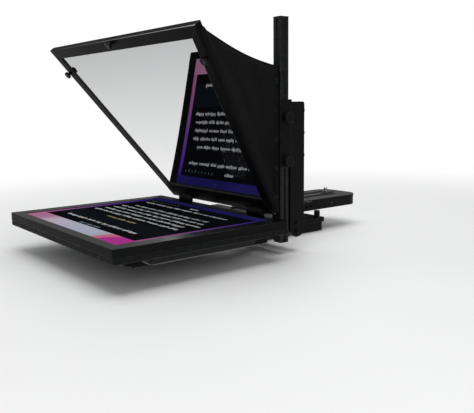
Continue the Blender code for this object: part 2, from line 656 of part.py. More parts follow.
def make_mirror_frame():
    s0, s1, s2, s3 = 0.0, BAR_BOTTOM, FRAME_LENGTH - BAR_TOP, FRAME_LENGTH
    mitre = GAP / 2
    low_in = half_width(s1) - BAR_SIDE
    high_in = half_width(s2) - BAR_SIDE
    notch = FOLD_S + 0.0075
    clear = 0.0007
    bottom = [(-half_width(s0) + mitre, s0)]
    for side in (-1, 1):
        near, far = sorted((side * (KNUCKLE_X[0] - clear), side * (KNUCKLE_X[1] + clear)))
        bottom += [(near, s0), (near, notch), (far, notch), (far, s0)]
    bottom += [(half_width(s0) - mitre, s0), (low_in - mitre, s1), (mitre - low_in, s1)]
    top = [(mitre - high_in, s2), (high_in - mitre, s2), (HALF_TOP - mitre, s3), (mitre - HALF_TOP, s3)]
    right = [(HALF_BOTTOM + mitre, s0), (HALF_TOP + mitre, s3)]
    right += [(high_in + mitre, s2), (low_in + mitre, s1)]
    left = [(-x, s) for x, s in right]
    outlines = {"bottom": bottom, "top": top, "left": left, "right": right}
    bars = {}
    for label, outline in outlines.items():
        bars[label] = plate("frame_bar_" + label, [outline], FRAME_AXES, 0.0, -FRAME_DEPTH)
        round_outer_rim(bars[label])
        rebate = trapezoid(s1 - REBATE, s2 + REBATE, BAR_SIDE - REBATE)
        boolean(bars[label], plate("rebate_" + label, [rebate], FRAME_AXES, -GLASS_LIP, -0.05, CUTTERS))
    span = (KNUCKLE_X[0] - 0.012, KNUCKLE_X[1] + 0.012)
    for side in (-1, 1):
        ends = [(side * x, FOLD_AXIS.y, FOLD_AXIS.z) for x in span]
        cut_hole(bars["bottom"], *ends, 0.0023, 16)

    side_x = half_width(THUMB_S) - THUMB_INSET
    spots = {"left": (-side_x, THUMB_S), "right": (side_x, THUMB_S), "top": (0.0, FRAME_LENGTH - THUMB_INSET)}
    depth = 0.0085
    for label, (x, s) in spots.items():
        cut_hole(bars[label], on_frame(x, s, -depth - 0.0005), on_frame(x, s, 0.01), 0.0021, 16)
        rings = [(0.0180, 0.0062), (0.0175, 0.0070), (0.0130, 0.0070), (0.0125, 0.0062), (0.0123, 0.0034)]
        rings += [(depth + GAP, 0.0034), (depth + GAP, 0.0017), (0.0, 0.0017)]
        screw = turned("thumb_screw_" + label, rings, on_frame(x, s, -depth), FACING, 24)
        seat = on_frame(x, s, -FRAME_DEPTH / 2)
        finish(screw, body("thumb_screw_" + label, seat, GLASS_FRAME), "plastic")
    for bar in bars.values():
        finish(bar, GLASS_FRAME, "painted")

    room = REBATE - 0.0007
    glass_w = -GLASS_LIP - GAP
    sheet = trapezoid(s1 - room, s2 + room, BAR_SIDE - room)
    glass = plate("mirror_glass", [sheet], FRAME_AXES, glass_w, glass_w - GLASS_THICKNESS)
    finish(glass, GLASS_FRAME, "glass")
    hole = trapezoid(s1, s2, BAR_SIDE)
    gasket_w = glass_w - GLASS_THICKNESS - GAP
    gasket_back = gasket_w - 0.0018
    gasket = plate("glass_gasket", [sheet, hole], FRAME_AXES, gasket_w, gasket_back)
    finish(gasket, GLASS_FRAME, "rubber")
    retainer = plate("glass_retainer", [sheet, hole], FRAME_AXES, gasket_back - GAP, -FRAME_DEPTH + GAP)
    finish(retainer, GLASS_FRAME, "painted")

    def side_view(s, w):
        point = on_frame(0.0, s, w)
        return (point.y, point.z)

    back = -FRAME_DEPTH - GAP
    ear = [side_view(0.030, back), side_view(0.004, back)]
    ear += arc((HOOD_PIVOT.y, HOOD_PIVOT.z), 0.0045, -70, 70, 9)
    inner_face = HOOD_HALF - HOOD_BAR - GAP
    for label, side in (("left", -1), ("right", 1)):
        span = sorted((side * (inner_face - 0.004), side * inner_face))
        lug = plate("hood_ear_" + label, [ear], "YZ", *span)
        pin_start = (side * (inner_face - 0.006), HOOD_PIVOT.y, HOOD_PIVOT.z)
        rings = [(0.0175, 0.0015), (0.0, 0.0015)]
        join(lug, turned("hood_pin_" + label, rings, pin_start, (side, 0, 0), 12, CUTTERS))
        finish(lug, GLASS_FRAME, "anodised")


# ---------------------------------------------------------------- hood

def cloth(name, surface, parent, columns=10, rows=8):
    """A sheet of fabric from a function of two parameters between 0 and 1."""
    work = bmesh.new()
    bmesh.ops.create_grid(work, x_segments=columns, y_segments=rows, size=0.5)
    for point in work.verts:
        point.co = surface(point.co.x + 0.5, point.co.y + 0.5)
    item = add_object(name, mesh_from(work, name))
    shell = item.modifiers.new("solidify", "SOLIDIFY")
    shell.thickness = CLOTH
    shell.offset = 0.0
    return finish(item, parent, "fabric")


def make_hood():
    top_s, low_s = 0.3775, 0.006
    behind = -FRAME_DEPTH - 0.0018
    seam_x, seam_y = HOOD_HALF + 0.0018, -0.1535

    def side_sheet(side):
        def surface(u, v):
            s = low_s + (top_s - low_s) * v
            start = on_frame(side * (half_width(s) - 0.0015), s, behind)
            end = Vector((side * seam_x, seam_y, 0.090 + (HOOD_TOP - 0.0015 - 0.090) * v))
            point = start.lerp(end, u)
            point.x -= side * 0.008 * math.sin(math.pi * u) * math.sin(math.pi * v)
            point.z -= 0.006 * math.sin(math.pi * u) * v * v
            return point
        return surface

    def top_sheet(u, v):
        start = on_frame(0.0, top_s, behind)
        end = Vector((0.0, seam_y, HOOD_TOP + 0.0020))
        point = start.lerp(end, u)
        half = (half_width(top_s) - 0.0015) * (1 - u) + seam_x * u - 0.0028
        across = 2 * v - 1
        point.x = across * half
        point.z -= 0.006 * math.sin(math.pi * u) + 0.010 * math.sin(math.pi * u) * (1 - across * across)
        return point

    cloth("hood_side_left", side_sheet(-1), GLASS_FRAME)
    cloth("hood_side_right", side_sheet(1), GLASS_FRAME)
    cloth("hood_top", top_sheet, GLASS_FRAME)

    inner = HOOD_HALF - HOOD_BAR
    sill = (0.118, 0.128)
    outline = [(-HOOD_HALF, HOOD_BOTTOM), (-inner, HOOD_BOTTOM), (-inner, sill[0]), (inner, sill[0])]
    outline += [(inner, HOOD_BOTTOM), (HOOD_HALF, HOOD_BOTTOM)]
    outline += [(HOOD_HALF, HOOD_TOP), (-HOOD_HALF, HOOD_TOP)]
    window = rectangle(-inner, inner, sill[1], HOOD_TOP - HOOD_BAR)
    rear_frame = plate("hood_frame", [outline, window], "XZ", HOOD_FRONT_Y, HOOD_REAR_Y)
    for side in (-1, 1):
        ends = [(side * x, HOOD_PIVOT.y, HOOD_PIVOT.z) for x in (inner - 0.01, HOOD_HALF + 0.01)]
        cut_hole(rear_frame, *ends, 0.0018, 12)
    finish(rear_frame, HOOD_FRAME, "anodised")

    skin = 0.0012
    panel_y = HOOD_REAR_Y + 0.0007
    panel = [rectangle(-0.158, 0.158, 0.093, 0.346), circle((0.0, OPTICAL_AXIS), LENS_HOLE_R, 48)]
    finish(plate("hood_rear_panel", panel, "XZ", panel_y, panel_y + skin), HOOD_FRAME, "fabric")

    rim = panel_y + skin + GAP
    flange, thick, lip_y = 0.093, 0.0015, -0.1060
    loop = [(rim, flange), (rim, 0.0800), (lip_y, 0.0655), (lip_y + 0.0010, 0.0665)]
    loop += [(rim + thick, 0.0818), (rim + thick, flange)]
    sleeve = turned_ring("lens_sleeve", loop, (0.0, 0.0, OPTICAL_AXIS), (0, 1, 0), 40)
    finish(sleeve, HOOD_FRAME, "fabric")

    hook = [(0.1587, 0.322), (0.1637, 0.322), (0.1637, 0.334)]
    hook += [(0.1700, 0.338), (0.1700, 0.345), (0.1587, 0.345)]
    catch_y = HOOD_REAR_Y + GAP
    finish(plate("hood_catch", [hook], "XZ", catch_y, catch_y + 0.0026), HOOD_FRAME, "steel")


make_base()
make_clamp()
make_camera_plate()
make_mast()
make_monitor()
make_hinge()
make_mirror_frame()
make_hood()
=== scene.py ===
"""Studio teleprompter: materials, soft goods, small hardware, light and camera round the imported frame.

Metres, +Z up, in the frame's own axes: the presenter is at -Y, the camera at +Y, the mast at +X.
"""
import json
import math
import random

import bmesh
import bpy
from mathutils import Matrix, Vector, noise


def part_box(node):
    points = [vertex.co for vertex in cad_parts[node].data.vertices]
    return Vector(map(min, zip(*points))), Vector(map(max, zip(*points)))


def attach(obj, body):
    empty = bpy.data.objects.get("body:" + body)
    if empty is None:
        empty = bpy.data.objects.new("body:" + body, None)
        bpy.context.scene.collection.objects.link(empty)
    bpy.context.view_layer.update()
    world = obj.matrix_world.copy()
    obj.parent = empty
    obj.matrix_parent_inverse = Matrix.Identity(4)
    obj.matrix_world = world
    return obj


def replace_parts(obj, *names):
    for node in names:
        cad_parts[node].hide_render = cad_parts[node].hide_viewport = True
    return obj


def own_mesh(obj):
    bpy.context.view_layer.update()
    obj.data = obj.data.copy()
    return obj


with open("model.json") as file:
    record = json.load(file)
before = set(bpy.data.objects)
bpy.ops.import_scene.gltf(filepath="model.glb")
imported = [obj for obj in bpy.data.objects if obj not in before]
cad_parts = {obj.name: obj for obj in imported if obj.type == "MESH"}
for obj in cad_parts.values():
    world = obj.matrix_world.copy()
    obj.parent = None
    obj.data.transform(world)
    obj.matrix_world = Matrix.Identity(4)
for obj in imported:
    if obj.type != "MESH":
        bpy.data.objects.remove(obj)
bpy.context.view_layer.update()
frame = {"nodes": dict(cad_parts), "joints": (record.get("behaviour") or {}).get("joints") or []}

NODES = frame["nodes"]
JOINTS = {joint["name"]: joint for joint in frame["joints"]}
X_AXIS = Vector((1.0, 0.0, 0.0))
Y_AXIS = Vector((0.0, 1.0, 0.0))
Z_AXIS = Vector((0.0, 0.0, 1.0))


def low(node):
    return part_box(node)[0]


def high(node):
    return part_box(node)[1]


# ------------ mirror frame's own axes

FOLD = Vector(JOINTS["glass_fold"]["pos_m"])
TOP_SCREW = Vector(JOINTS["thumb_screw_top_turn"]["pos_m"])
FACING = Vector(JOINTS["thumb_screw_top_turn"]["axis"]).normalized()
ALONG = FACING.cross(X_AXIS)
FOLD_INSET = 0.005
SCREW_INSET = 0.006
HALF_DEPTH = 0.006
FOOT = FOLD - ALONG * FOLD_INSET + FACING * HALF_DEPTH
LENGTH = (TOP_SCREW - FOOT).dot(ALONG) + SCREW_INSET
HALF_BOTTOM = high("frame_bar_bottom").x
HALF_TOP = high("frame_bar_top").x
BACK = -2 * HALF_DEPTH
BAR_SIDE = 0.0205
BAR_TOP = 0.021
BAR_BOTTOM = 0.034


def on_frame(x, s, w=0.0):
    """A point by its place across the mirror frame, up its slope, and out of its front face."""
    return FOOT + X_AXIS * x + ALONG * s + FACING * w


def half_width(s):
    return HALF_BOTTOM + (HALF_TOP - HALF_BOTTOM) * s / LENGTH


FRAME_AXES = Matrix.Translation(FOOT) @ Matrix((X_AXIS, ALONG, FACING)).transposed().to_4x4()


# ------------ materials

class Graph:
    """A material's node tree, built by nested calls."""

    def __init__(self, name):
        self.material = bpy.data.materials.new(name)
        self.material.use_nodes = True
        self.nodes = self.material.node_tree.nodes
        self.links = self.material.node_tree.links
        self.shader = self.nodes["Principled BSDF"]
        self.place = self.add("ShaderNodeTexCoord").outputs["Object"]

    def add(self, kind, inputs=None, **settings):
        node = self.nodes.new(kind)
        for key, value in settings.items():
            setattr(node, key, value)
        for key, value in (inputs or {}).items():
            self.put(node.inputs[key], value)
        return node

    def put(self, socket, value):
        if isinstance(value, bpy.types.NodeSocket):
            self.links.new(value, socket)
        else:
            socket.default_value = value

    def set(self, **values):
        for key, value in values.items():
            self.put(self.shader.inputs[key.replace("_", " ")], value)

    def math(self, operation, a, b=0.0, clamp=False):
        return self.add("ShaderNodeMath", {0: a, 1: b}, operation=operation, use_clamp=clamp).outputs[0]

    def add_up(self, a, b):
        return self.math("ADD", a, b)

    def product(self, a, b):
        return self.math("MULTIPLY", a, b)

    def hypotenuse(self, a, b):
        return self.math("SQRT", self.add_up(self.product(a, a), self.product(b, b)))

    def vectors(self, operation, inputs):
        return self.add("ShaderNodeVectorMath", inputs, operation=operation).outputs[0]

    def scaled(self, factors):
        return self.vectors("MULTIPLY", {0: self.place, 1: factors})

    def noise(self, scale, detail=2.0, vector=None):
        inputs = {"Vector": vector or self.place, "Scale": scale, "Detail": detail}
        return self.add("ShaderNodeTexNoise", inputs).outputs["Fac"]

    def remap(self, value, start, end, to_start=0.0, to_end=1.0, smooth=False):
        inputs = {0: value, 1: start, 2: end, 3: to_start, 4: to_end}
        kind = "SMOOTHSTEP" if smooth else "LINEAR"
        return self.add("ShaderNodeMapRange", inputs, interpolation_type=kind).outputs[0]

    def mix(self, factor, a, b, blend="MIX"):
        node = self.add("ShaderNodeMix", {0: factor}, data_type="RGBA", blend_type=blend)
        self.put(node.inputs[6], a)
        self.put(node.inputs[7], b)
        return node.outputs[2]

    def ramp(self, value, stops):
        node = self.add("ShaderNodeValToRGB", {0: value})
        elements = node.color_ramp.elements
        while len(elements) < len(stops):
            elements.new(0.5)
        for element, (position, colour) in zip(elements, stops):
            element.position = position
            element.color = (*colour, 1.0)
        return node.outputs[0]

    def axes(self, vector=None):
        return self.add("ShaderNodeSeparateXYZ", {0: vector or self.place}).outputs

    def band(self, value, start, end):
        """1 between two values, 0 outside."""
        above = self.math("GREATER_THAN", value, start)
        return self.product(above, self.math("LESS_THAN", value, end))

    def edges(self, radius):
        """The rounded normal near edges, and a mask that is 1 on an edge and 0 on a face."""
        soft = self.add("ShaderNodeBevel", {"Radius": radius}, samples=4).outputs[0]
        flat = self.add("ShaderNodeNewGeometry").outputs["Normal"]
        same = self.add("ShaderNodeVectorMath", {0: soft, 1: flat}, operation="DOT_PRODUCT")
        return soft, self.remap(same.outputs["Value"], 0.985, 0.80)

    def bump(self, height, distance, normal=None):
        node = self.add("ShaderNodeBump", {"Height": height, "Distance": distance, "Strength": 1.0})
        if normal is not None:
            self.put(node.inputs["Normal"], normal)
        return node.outputs[0]


def shade(colour, factor):
    return (*(min(1.0, c * factor) for c in colour), 1.0)


DUST = (0.32, 0.31, 0.29, 1.0)
# The light grey of the painted highlight on the top bar's upward rounding.
PAINTED_HIGHLIGHT_GREY = (0.55, 0.54, 0.53, 1.0)
BLACK = (0.0, 0.0, 0.0, 1.0)
EDGE_GLOSS = 0.5
MATT_FADE = 0.02
FINE_GRAIN = (1800.0, 0.00002)


def hard_finish(name, colour, roughness, metallic=0.0, grain=(1400.0, 0.00003), streaks=None,
                scuff_and_highlight_colour=(0.30, 0.30, 0.31), scuff_and_highlight=0.35, dust=0.10, specular=0.05, grazing=0.05,
                painted_highlight_strength=0.0, round_edge=0.0008, matt_beyond=None, painted_top_shade=0.0):
    """A hard surface: slow colour and gloss variation, fine grain, scuffed lighter edges that also serve
    as painted highlights, and dust on top.

    grain: the grain's scale and height. streaks: the scale of drawn or brushed lines along each axis.
    specular: the gloss seen face on. grazing: the gloss seen at a low angle. matt_beyond: the y beyond
    which the low-angle gloss is gone. burnished: the strength of a painted highlight, a light grey on a
    rounding that turns upwards, most on the mast's side. painted_top_shade: how much painted shade darkens
    an upward face.
    """
    g = Graph(name)
    blotch = g.noise(14.0, 4.0)
    height = g.noise(grain[0], 1.0)
    tone = g.mix(blotch, shade(colour, 0.78), shade(colour, 1.25))
    gloss = g.add_up(roughness - 0.11, g.product(g.noise(48.0, 5.0), 0.22))
    soft, edge = g.edges(round_edge)
    if streaks:
        drawn = g.noise(1.0, 3.0, g.scaled(streaks))
        height = g.add_up(height, g.product(drawn, 1.5))
        gloss = g.add_up(gloss, g.product(g.math("SUBTRACT", drawn, 0.5), 0.25))
        tone = g.mix(g.remap(drawn, 0.35, 0.75), tone, shade(colour, 1.5))
    # Edges lightened by noise: real scuffing of the finish, and also a painted highlight along edges,
    # strongest on the mast's slot edges.
    scuff_and_highlight_mask = g.product(edge, g.remap(g.noise(170.0, 3.0), 0.42, 0.72, 0.0, scuff_and_highlight))
    upward = g.axes(g.add("ShaderNodeNewGeometry").outputs["Normal"])[2]
    settled = g.product(g.remap(upward, 0.55, 1.0), g.remap(g.noise(90.0, 6.0), 0.45, 0.85, 0.0, dust))
    tone = g.mix(scuff_and_highlight_mask, tone, (*scuff_and_highlight_colour, 1.0))
    tone = g.mix(settled, tone, DUST)
    # Painted shade: the colour of upward faces is darkened towards black.
    if painted_top_shade:
        tone = g.mix(g.remap(upward, 0.70, 0.95, 0.0, painted_top_shade), tone, BLACK)
    # Painted highlight: the top bar's upward rounding is painted a light grey, most on the mast's side, in
    # place of light caught by the rounded edge.
    if painted_highlight_strength:
        left, right = low("frame_bar_top").x, high("frame_bar_top").x
        highlight_fade = g.remap(g.axes()[0], left, right, 0.02, painted_highlight_strength)
        tone = g.mix(g.product(g.band(upward, 0.08, 0.60), highlight_fade), tone, PAINTED_HIGHLIGHT_GREY)
    facing = g.add("ShaderNodeLayerWeight", {"Blend": 0.5}).outputs["Facing"]
    low_gloss = g.remap(facing, 0.72, 0.95, 0.0, grazing - specular)
    if matt_beyond is not None:
        glossy = g.remap(g.axes()[1], matt_beyond - MATT_FADE, matt_beyond, 1.0, 0.0)
        low_gloss = g.product(low_gloss, glossy)
    level = g.add_up(g.add_up(low_gloss, specular), g.product(edge, EDGE_GLOSS))
    g.set(Base_Color=tone, Metallic=metallic, Specular_IOR_Level=level,
          Roughness=g.math("ADD", gloss, g.product(settled, 0.6), clamp=True),
          Normal=g.bump(height, grain[1], soft))
    return g.material


def cloth_finish(name, colour, thread=0.0009):
    """Plain-woven nylon: over-and-under threads from the UV map, slubs, faint fade and a soft sheen."""
    g = Graph(name)
    across = g.axes(g.add("ShaderNodeTexCoord").outputs["UV"])
    turns = math.tau / thread
    warp, weft = (g.math("SINE", g.product(across[axis], turns)) for axis in (0, 1))
    weave = g.product(warp, weft)
    slub = g.noise(260.0, 3.0)
    crease = g.noise(26.0, 5.0)
    fade = g.noise(9.0, 4.0)
    tone = g.mix(fade, shade(colour, 0.72), shade(colour, 1.35))
    tone = g.mix(g.remap(weave, -1.0, 1.0, 0.0, 0.35), tone, shade(colour, 2.1))
    tone = g.mix(g.remap(slub, 0.60, 0.80, 0.0, 0.30), tone, shade(colour, 2.6))
    height = g.add_up(g.product(weave, 0.35), g.product(crease, 3.0))
    height = g.add_up(height, g.product(slub, 0.8))
    g.set(Base_Color=tone, Roughness=g.remap(fade, 0.2, 0.8, 0.78, 0.95), Sheen_Weight=0.03,
          Sheen_Roughness=0.45, Sheen_Tint=(0.55, 0.56, 0.60, 1.0), Specular_IOR_Level=0.03,
          Normal=g.bump(height, 0.0005))
    return g.material


def mirror_finish():
    """Beam-splitter glass: most light is reflected and the rest passes. Its reflection is painted brighter
    towards the foot.
    """
    g = Graph("beam_splitter_coated")
    foot = g.remap(g.axes()[2], low("mirror_glass").z, high("mirror_glass").z, 1.0, 0.0)
    smear = g.remap(g.noise(11.0, 5.0), 0.35, 0.75, 0.985, 1.0)
    smeared = g.ramp(smear, [(0.0, (0.0, 0.0, 0.0)), (1.0, (1.0, 1.0, 1.0))])
    # Painted reflection: the reflected colour brightens from the top of the glass to its foot.
    painted_reflection_tint = g.ramp(foot, [(0.0, (0.56, 0.565, 0.57)), (0.50, (0.81, 0.815, 0.82)),
                         (1.0, (1.0, 1.0, 1.0))])
    painted_reflection_tint = g.mix(1.0, painted_reflection_tint, smeared, "MULTIPLY")
    haze = g.remap(g.noise(30.0, 3.0), 0.3, 0.8, 0.0, 0.012)
    mirror = g.add("ShaderNodeBsdfGlossy", {"Color": painted_reflection_tint, "Roughness": haze,
                                            "Normal": bowed_normal(g, foot)})
    through = g.add("ShaderNodeBsdfTransparent", {"Color": (0.55, 0.58, 0.58, 1.0)})
    passed = 0.12
    both = g.add("ShaderNodeMixShader", {0: passed, 1: mirror.outputs[0], 2: through.outputs[0]})
    g.links.new(both.outputs[0], g.nodes["Material Output"].inputs["Surface"])
    # The Principled shader isn't linked. It holds plain mirror values for programs that read only it.
    g.set(Base_Color=(0.72, 0.74, 0.76, 1.0), Metallic=0.9, Roughness=0.03)
    return g.material


def bowed_normal(g, foot):
    """The sheet's normal as it bows one to three degrees out of its flat frame, most at the foot."""
    along = g.remap(g.product(foot, foot), 0.0, 1.0, 0.010, 0.055)
    across = g.remap(foot, 0.0, 1.0, 0.028, 0.002)
    lean = g.vectors("SCALE", {0: tuple(ALONG), "Scale": along})
    turn = g.vectors("SCALE", {0: tuple(X_AXIS), "Scale": across})
    normal = g.vectors("ADD", {0: tuple(FACING), 1: g.vectors("ADD", {0: lean, 1: turn})})
    return g.add("ShaderNodeVectorTransform", {0: normal}, vector_type="NORMAL",
                 convert_from="OBJECT", convert_to="WORLD").outputs[0]


BEZEL_SIDE, BEZEL_FRONT, BEZEL_REAR = 0.027, 0.019, 0.023
SCREEN_LOW = low("monitor_bezel") + Vector((BEZEL_SIDE, BEZEL_FRONT, 0.0))
SCREEN_HIGH = high("monitor_bezel") - Vector((BEZEL_SIDE, BEZEL_REAR, 0.0))
LEFT_BORDER, RIGHT_BORDER = 0.0115, 0.0120
FRONT_BAND, REAR_BAND = 0.039, 0.020
PANEL_START, PANEL_END = 0.064, 0.119
DISC_INSET, DISC_EDGE, RING_EDGE = 0.024, 0.042, 0.068
PIXEL_ROW = 0.0006


def screen_finish():
    """The lit display.

    A bright band with a round patch lies along the presenter's edge, a narrow colour bar at each side,
    and a blue-violet band along the mirror. The script window between them is black, with one greyer
    panel.
    """
    g = Graph("display_lit")
    x, y, _ = g.axes()
    wobble = g.product(g.math("SUBTRACT", g.noise(16.0, 1.0), 0.5), 0.035)
    across = g.remap(g.add_up(x, wobble), SCREEN_LOW.x, SCREEN_HIGH.x)
    bright = g.ramp(across, [
        (0.0, (0.33, 0.13, 0.24)), (0.14, (0.34, 0.16, 0.26)), (0.26, (0.42, 0.36, 0.44)),
        (0.50, (0.36, 0.37, 0.46)), (0.72, (0.33, 0.36, 0.43)), (0.80, (0.36, 0.22, 0.30)),
        (1.0, (0.34, 0.026, 0.21))])
    away = g.hypotenuse(g.math("SUBTRACT", x, SCREEN_HIGH.x - DISC_INSET),
                        g.math("SUBTRACT", y, SCREEN_LOW.y))
    ring = g.remap(away, RING_EDGE - 0.004, RING_EDGE, 1.0, 0.0)
    disc = g.remap(away, DISC_EDGE, DISC_EDGE + 0.008, 1.0, 0.0)
    bright = g.mix(ring, bright, (0.44, 0.13, 0.17, 1.0))
    bright = g.mix(disc, bright, (0.35, 0.028, 0.22, 1.0))
    side = g.ramp(g.remap(y, SCREEN_LOW.y, SCREEN_HIGH.y), [
        (0.0, (0.36, 0.10, 0.22)), (0.25, (0.26, 0.08, 0.20)), (0.55, (0.11, 0.04, 0.21)),
        (0.85, (0.040, 0.014, 0.19)), (1.0, (0.012, 0.009, 0.085))])
    violet = g.ramp(g.noise(7.0, 2.0), [(0.3, (0.006, 0.005, 0.045)), (0.7, (0.012, 0.009, 0.085))])
    dark = g.ramp(g.noise(5.0, 2.0), [(0.2, (0.0010, 0.0011, 0.0016)), (0.8, (0.0022, 0.0024, 0.0032))])
    panel = g.band(y, SCREEN_LOW.y + PANEL_START, SCREEN_LOW.y + PANEL_END)
    dark = g.mix(panel, dark, (0.0028, 0.0041, 0.0058, 1.0))
    window = g.band(x, SCREEN_LOW.x + LEFT_BORDER, SCREEN_HIGH.x - RIGHT_BORDER)
    rear = g.math("GREATER_THAN", y, SCREEN_HIGH.y - REAR_BAND)
    front = g.math("LESS_THAN", y, SCREEN_LOW.y + FRONT_BAND)
    picture = g.mix(window, side, dark)
    picture = g.mix(rear, picture, violet)
    picture = g.mix(front, picture, bright)
    lit = g.band(x, SCREEN_LOW.x - 0.0005, SCREEN_HIGH.x + 0.0005)
    rows = g.math("SINE", g.product(y, math.tau / PIXEL_ROW))
    g.set(Base_Color=(0.003, 0.003, 0.004, 1.0), Roughness=g.remap(g.noise(60.0), 0.3, 0.7, 0.30, 0.40),
          Emission_Color=picture, Emission_Strength=lit, Specular_IOR_Level=0.0,
          Normal=g.bump(rows, 0.00001))
    return g.material


def script_finish(name, colour):
    """Glowing strokes of slightly uneven brightness."""
    g = Graph(name)
    tone = (*colour, 1.0)
    uneven = g.remap(g.noise(400.0, 2.0), 0.3, 0.7, 0.65, 1.0)
    g.set(Base_Color=tone, Emission_Color=tone, Emission_Strength=uneven, Roughness=0.4)
    return g.material


def board_finish():
    """Green solder mask over copper tracks."""
    g = Graph("circuit_board_masked")
    cells = g.add("ShaderNodeTexVoronoi", {"Vector": g.scaled((1.0, 1.0, 0.05)), "Scale": 110.0},
                  distance="CHEBYCHEV", feature="DISTANCE_TO_EDGE").outputs[0]
    track = g.remap(cells, 0.04, 0.10, 1.0, 0.0)
    tone = g.mix(track, (0.012, 0.075, 0.030, 1.0), (0.050, 0.190, 0.080, 1.0))
    g.set(Base_Color=tone, Roughness=0.38, Normal=g.bump(track, 0.00008))
    return g.material


LOOKS = {
    "anodised": hard_finish("anodised_satin_black", (0.0052, 0.0054, 0.0059), 0.42, 0.04, FINE_GRAIN,
        scuff_and_highlight=0.22, dust=0.03),
    # The mast's high edge amount paints bright highlight lines along its slot edges.
    "drawn_z": hard_finish("anodised_drawn_upright", (0.0100, 0.0106, 0.0112), 0.36, 0.30, FINE_GRAIN,
        streaks=(700.0, 700.0, 6.0), scuff_and_highlight=0.80, dust=0.03, specular=0.12),
    "drawn_x": hard_finish("anodised_drawn_across", (0.0050, 0.0053, 0.0060), 0.46, 0.04, FINE_GRAIN,
        streaks=(6.0, 700.0, 700.0), scuff_and_highlight=0.25, dust=0.03),
    "painted": hard_finish("painted_fine_texture", (0.0036, 0.0038, 0.0041), 0.36, 0.0, (950.0, 0.00006),
        scuff_and_highlight=0.20, dust=0.02, specular=0.02, grazing=0.02, painted_highlight_strength=0.55),
    # The bezel's upward faces are darkened by painted shade.
    "bezel_x": hard_finish("bezel_brushed", (0.0078, 0.0081, 0.0084), 0.32, 0.0, (1500.0, 0.00002),
        streaks=(9.0, 520.0, 520.0), scuff_and_highlight_colour=(0.42, 0.42, 0.43), scuff_and_highlight=0.55, dust=0.03,
        specular=0.012, grazing=0.65, matt_beyond=SCREEN_HIGH.y, painted_top_shade=0.7),
    "case": hard_finish("monitor_case", (0.0110, 0.0115, 0.0117), 0.44, 0.0, (1200.0, 0.00004),
        streaks=(9.0, 420.0, 420.0), scuff_and_highlight_colour=(0.34, 0.34, 0.35), scuff_and_highlight=0.4, dust=0.03,
        specular=0.012),
    "chassis": hard_finish("rolled_sheet", (0.50, 0.50, 0.51), 0.34, 1.0, (900.0, 0.00002),
        streaks=(5.0, 300.0, 300.0), scuff_and_highlight_colour=(0.8, 0.8, 0.8), scuff_and_highlight=0.3, dust=0.0),
    "steel": hard_finish("zinc_plated_steel", (0.36, 0.37, 0.38), 0.32, 1.0, (700.0, 0.00002),
        scuff_and_highlight_colour=(0.75, 0.75, 0.76), scuff_and_highlight=0.4, dust=0.03),
    "black_steel": hard_finish("blackened_steel", (0.012, 0.012, 0.013), 0.33, 0.65, (1600.0, 0.00002),
        scuff_and_highlight_colour=(0.45, 0.44, 0.43), scuff_and_highlight=0.45, dust=0.02, round_edge=0.0003),
    "plastic": hard_finish("moulded_black", (0.0072, 0.0072, 0.0077), 0.50, 0.0, (1100.0, 0.00005),
        scuff_and_highlight_colour=(0.08, 0.08, 0.08), scuff_and_highlight=0.4, dust=0.02),
    "rubber": hard_finish("matte_rubber", (0.0060, 0.0060, 0.0062), 0.78, 0.0, (650.0, 0.00008),
        scuff_and_highlight_colour=(0.05, 0.05, 0.05), scuff_and_highlight=0.3, dust=0.08),
    "diffuser": hard_finish("white_diffuser", (0.78, 0.78, 0.78), 0.55, 0.0, (500.0, 0.00003),
        scuff_and_highlight_colour=(0.9, 0.9, 0.9), scuff_and_highlight=0.1, dust=0.0, specular=0.5, grazing=0.5),
    "cloth": cloth_finish("hood_nylon", (0.0050, 0.0051, 0.0056)),
    "tape": cloth_finish("binding_tape", (0.0058, 0.0059, 0.0063), thread=0.0014),
    "elastic": cloth_finish("elastic_hem", (0.0055, 0.0055, 0.0060), thread=0.0018),
    "thread": cloth_finish("stitching", (0.020, 0.020, 0.022), thread=0.0006),
    "mirror": mirror_finish(),
    "screen": screen_finish(),
    "script": script_finish("script_greeked", (0.30, 0.31, 0.32)),
    "cue": script_finish("cue_greeked", (0.17, 0.15, 0.04)),
    "faint": script_finish("faint_greeked", (0.05, 0.09, 0.11)),
    "board": board_finish(),
    # The plate's index marks use a glowing finish: painted light, since they are no lamp.
    "mark": script_finish("glowing_index_mark", (0.25, 0.25, 0.25)),
}

NODE_LOOKS = {
    "anodised": "head_plate riser_base slide_bed lock_block cross_beam upright clamp_channel camera_plate "
        "mast_foot_bracket monitor_rail_left monitor_rail_right hinge_block_left "
        "hinge_block_right hood_ear_left hood_ear_right hood_frame",
    "drawn_z": "mast",
    "drawn_x": "cross_bar",
    "painted": "frame_bar_bottom frame_bar_top frame_bar_left frame_bar_right glass_retainer",
    "bezel_x": "monitor_bezel",
    "case": "monitor_tray rear_cover",
    "chassis": "monitor_chassis connector_panel",
    "steel": "plate_keeper_left plate_keeper_right camera_screw hinge_pin_left hinge_pin_right",
    "black_steel": "hood_catch",
    "plastic": "plate_lock_lever mast_cap_top mast_cap_bottom power_socket power_switch",
    "rubber": "glass_gasket monitor_foot_left monitor_foot_right",
    "diffuser": "backlight_unit",
    "board": "driver_board power_board",
    "mirror": "mirror_glass",
    "screen": "lcd_panel",
}


def dress_nodes():
    """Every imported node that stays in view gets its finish."""
    for look, names in NODE_LOOKS.items():
        for name in names.split():
            slots = NODES[name].data.materials
            slots.clear()
            slots.append(LOOKS[look])


# ------------ pieces

SIDES = (("left", -1), ("right", 1))
SOFT_EDGES = 60.0
KNURL_EDGES = 32.0


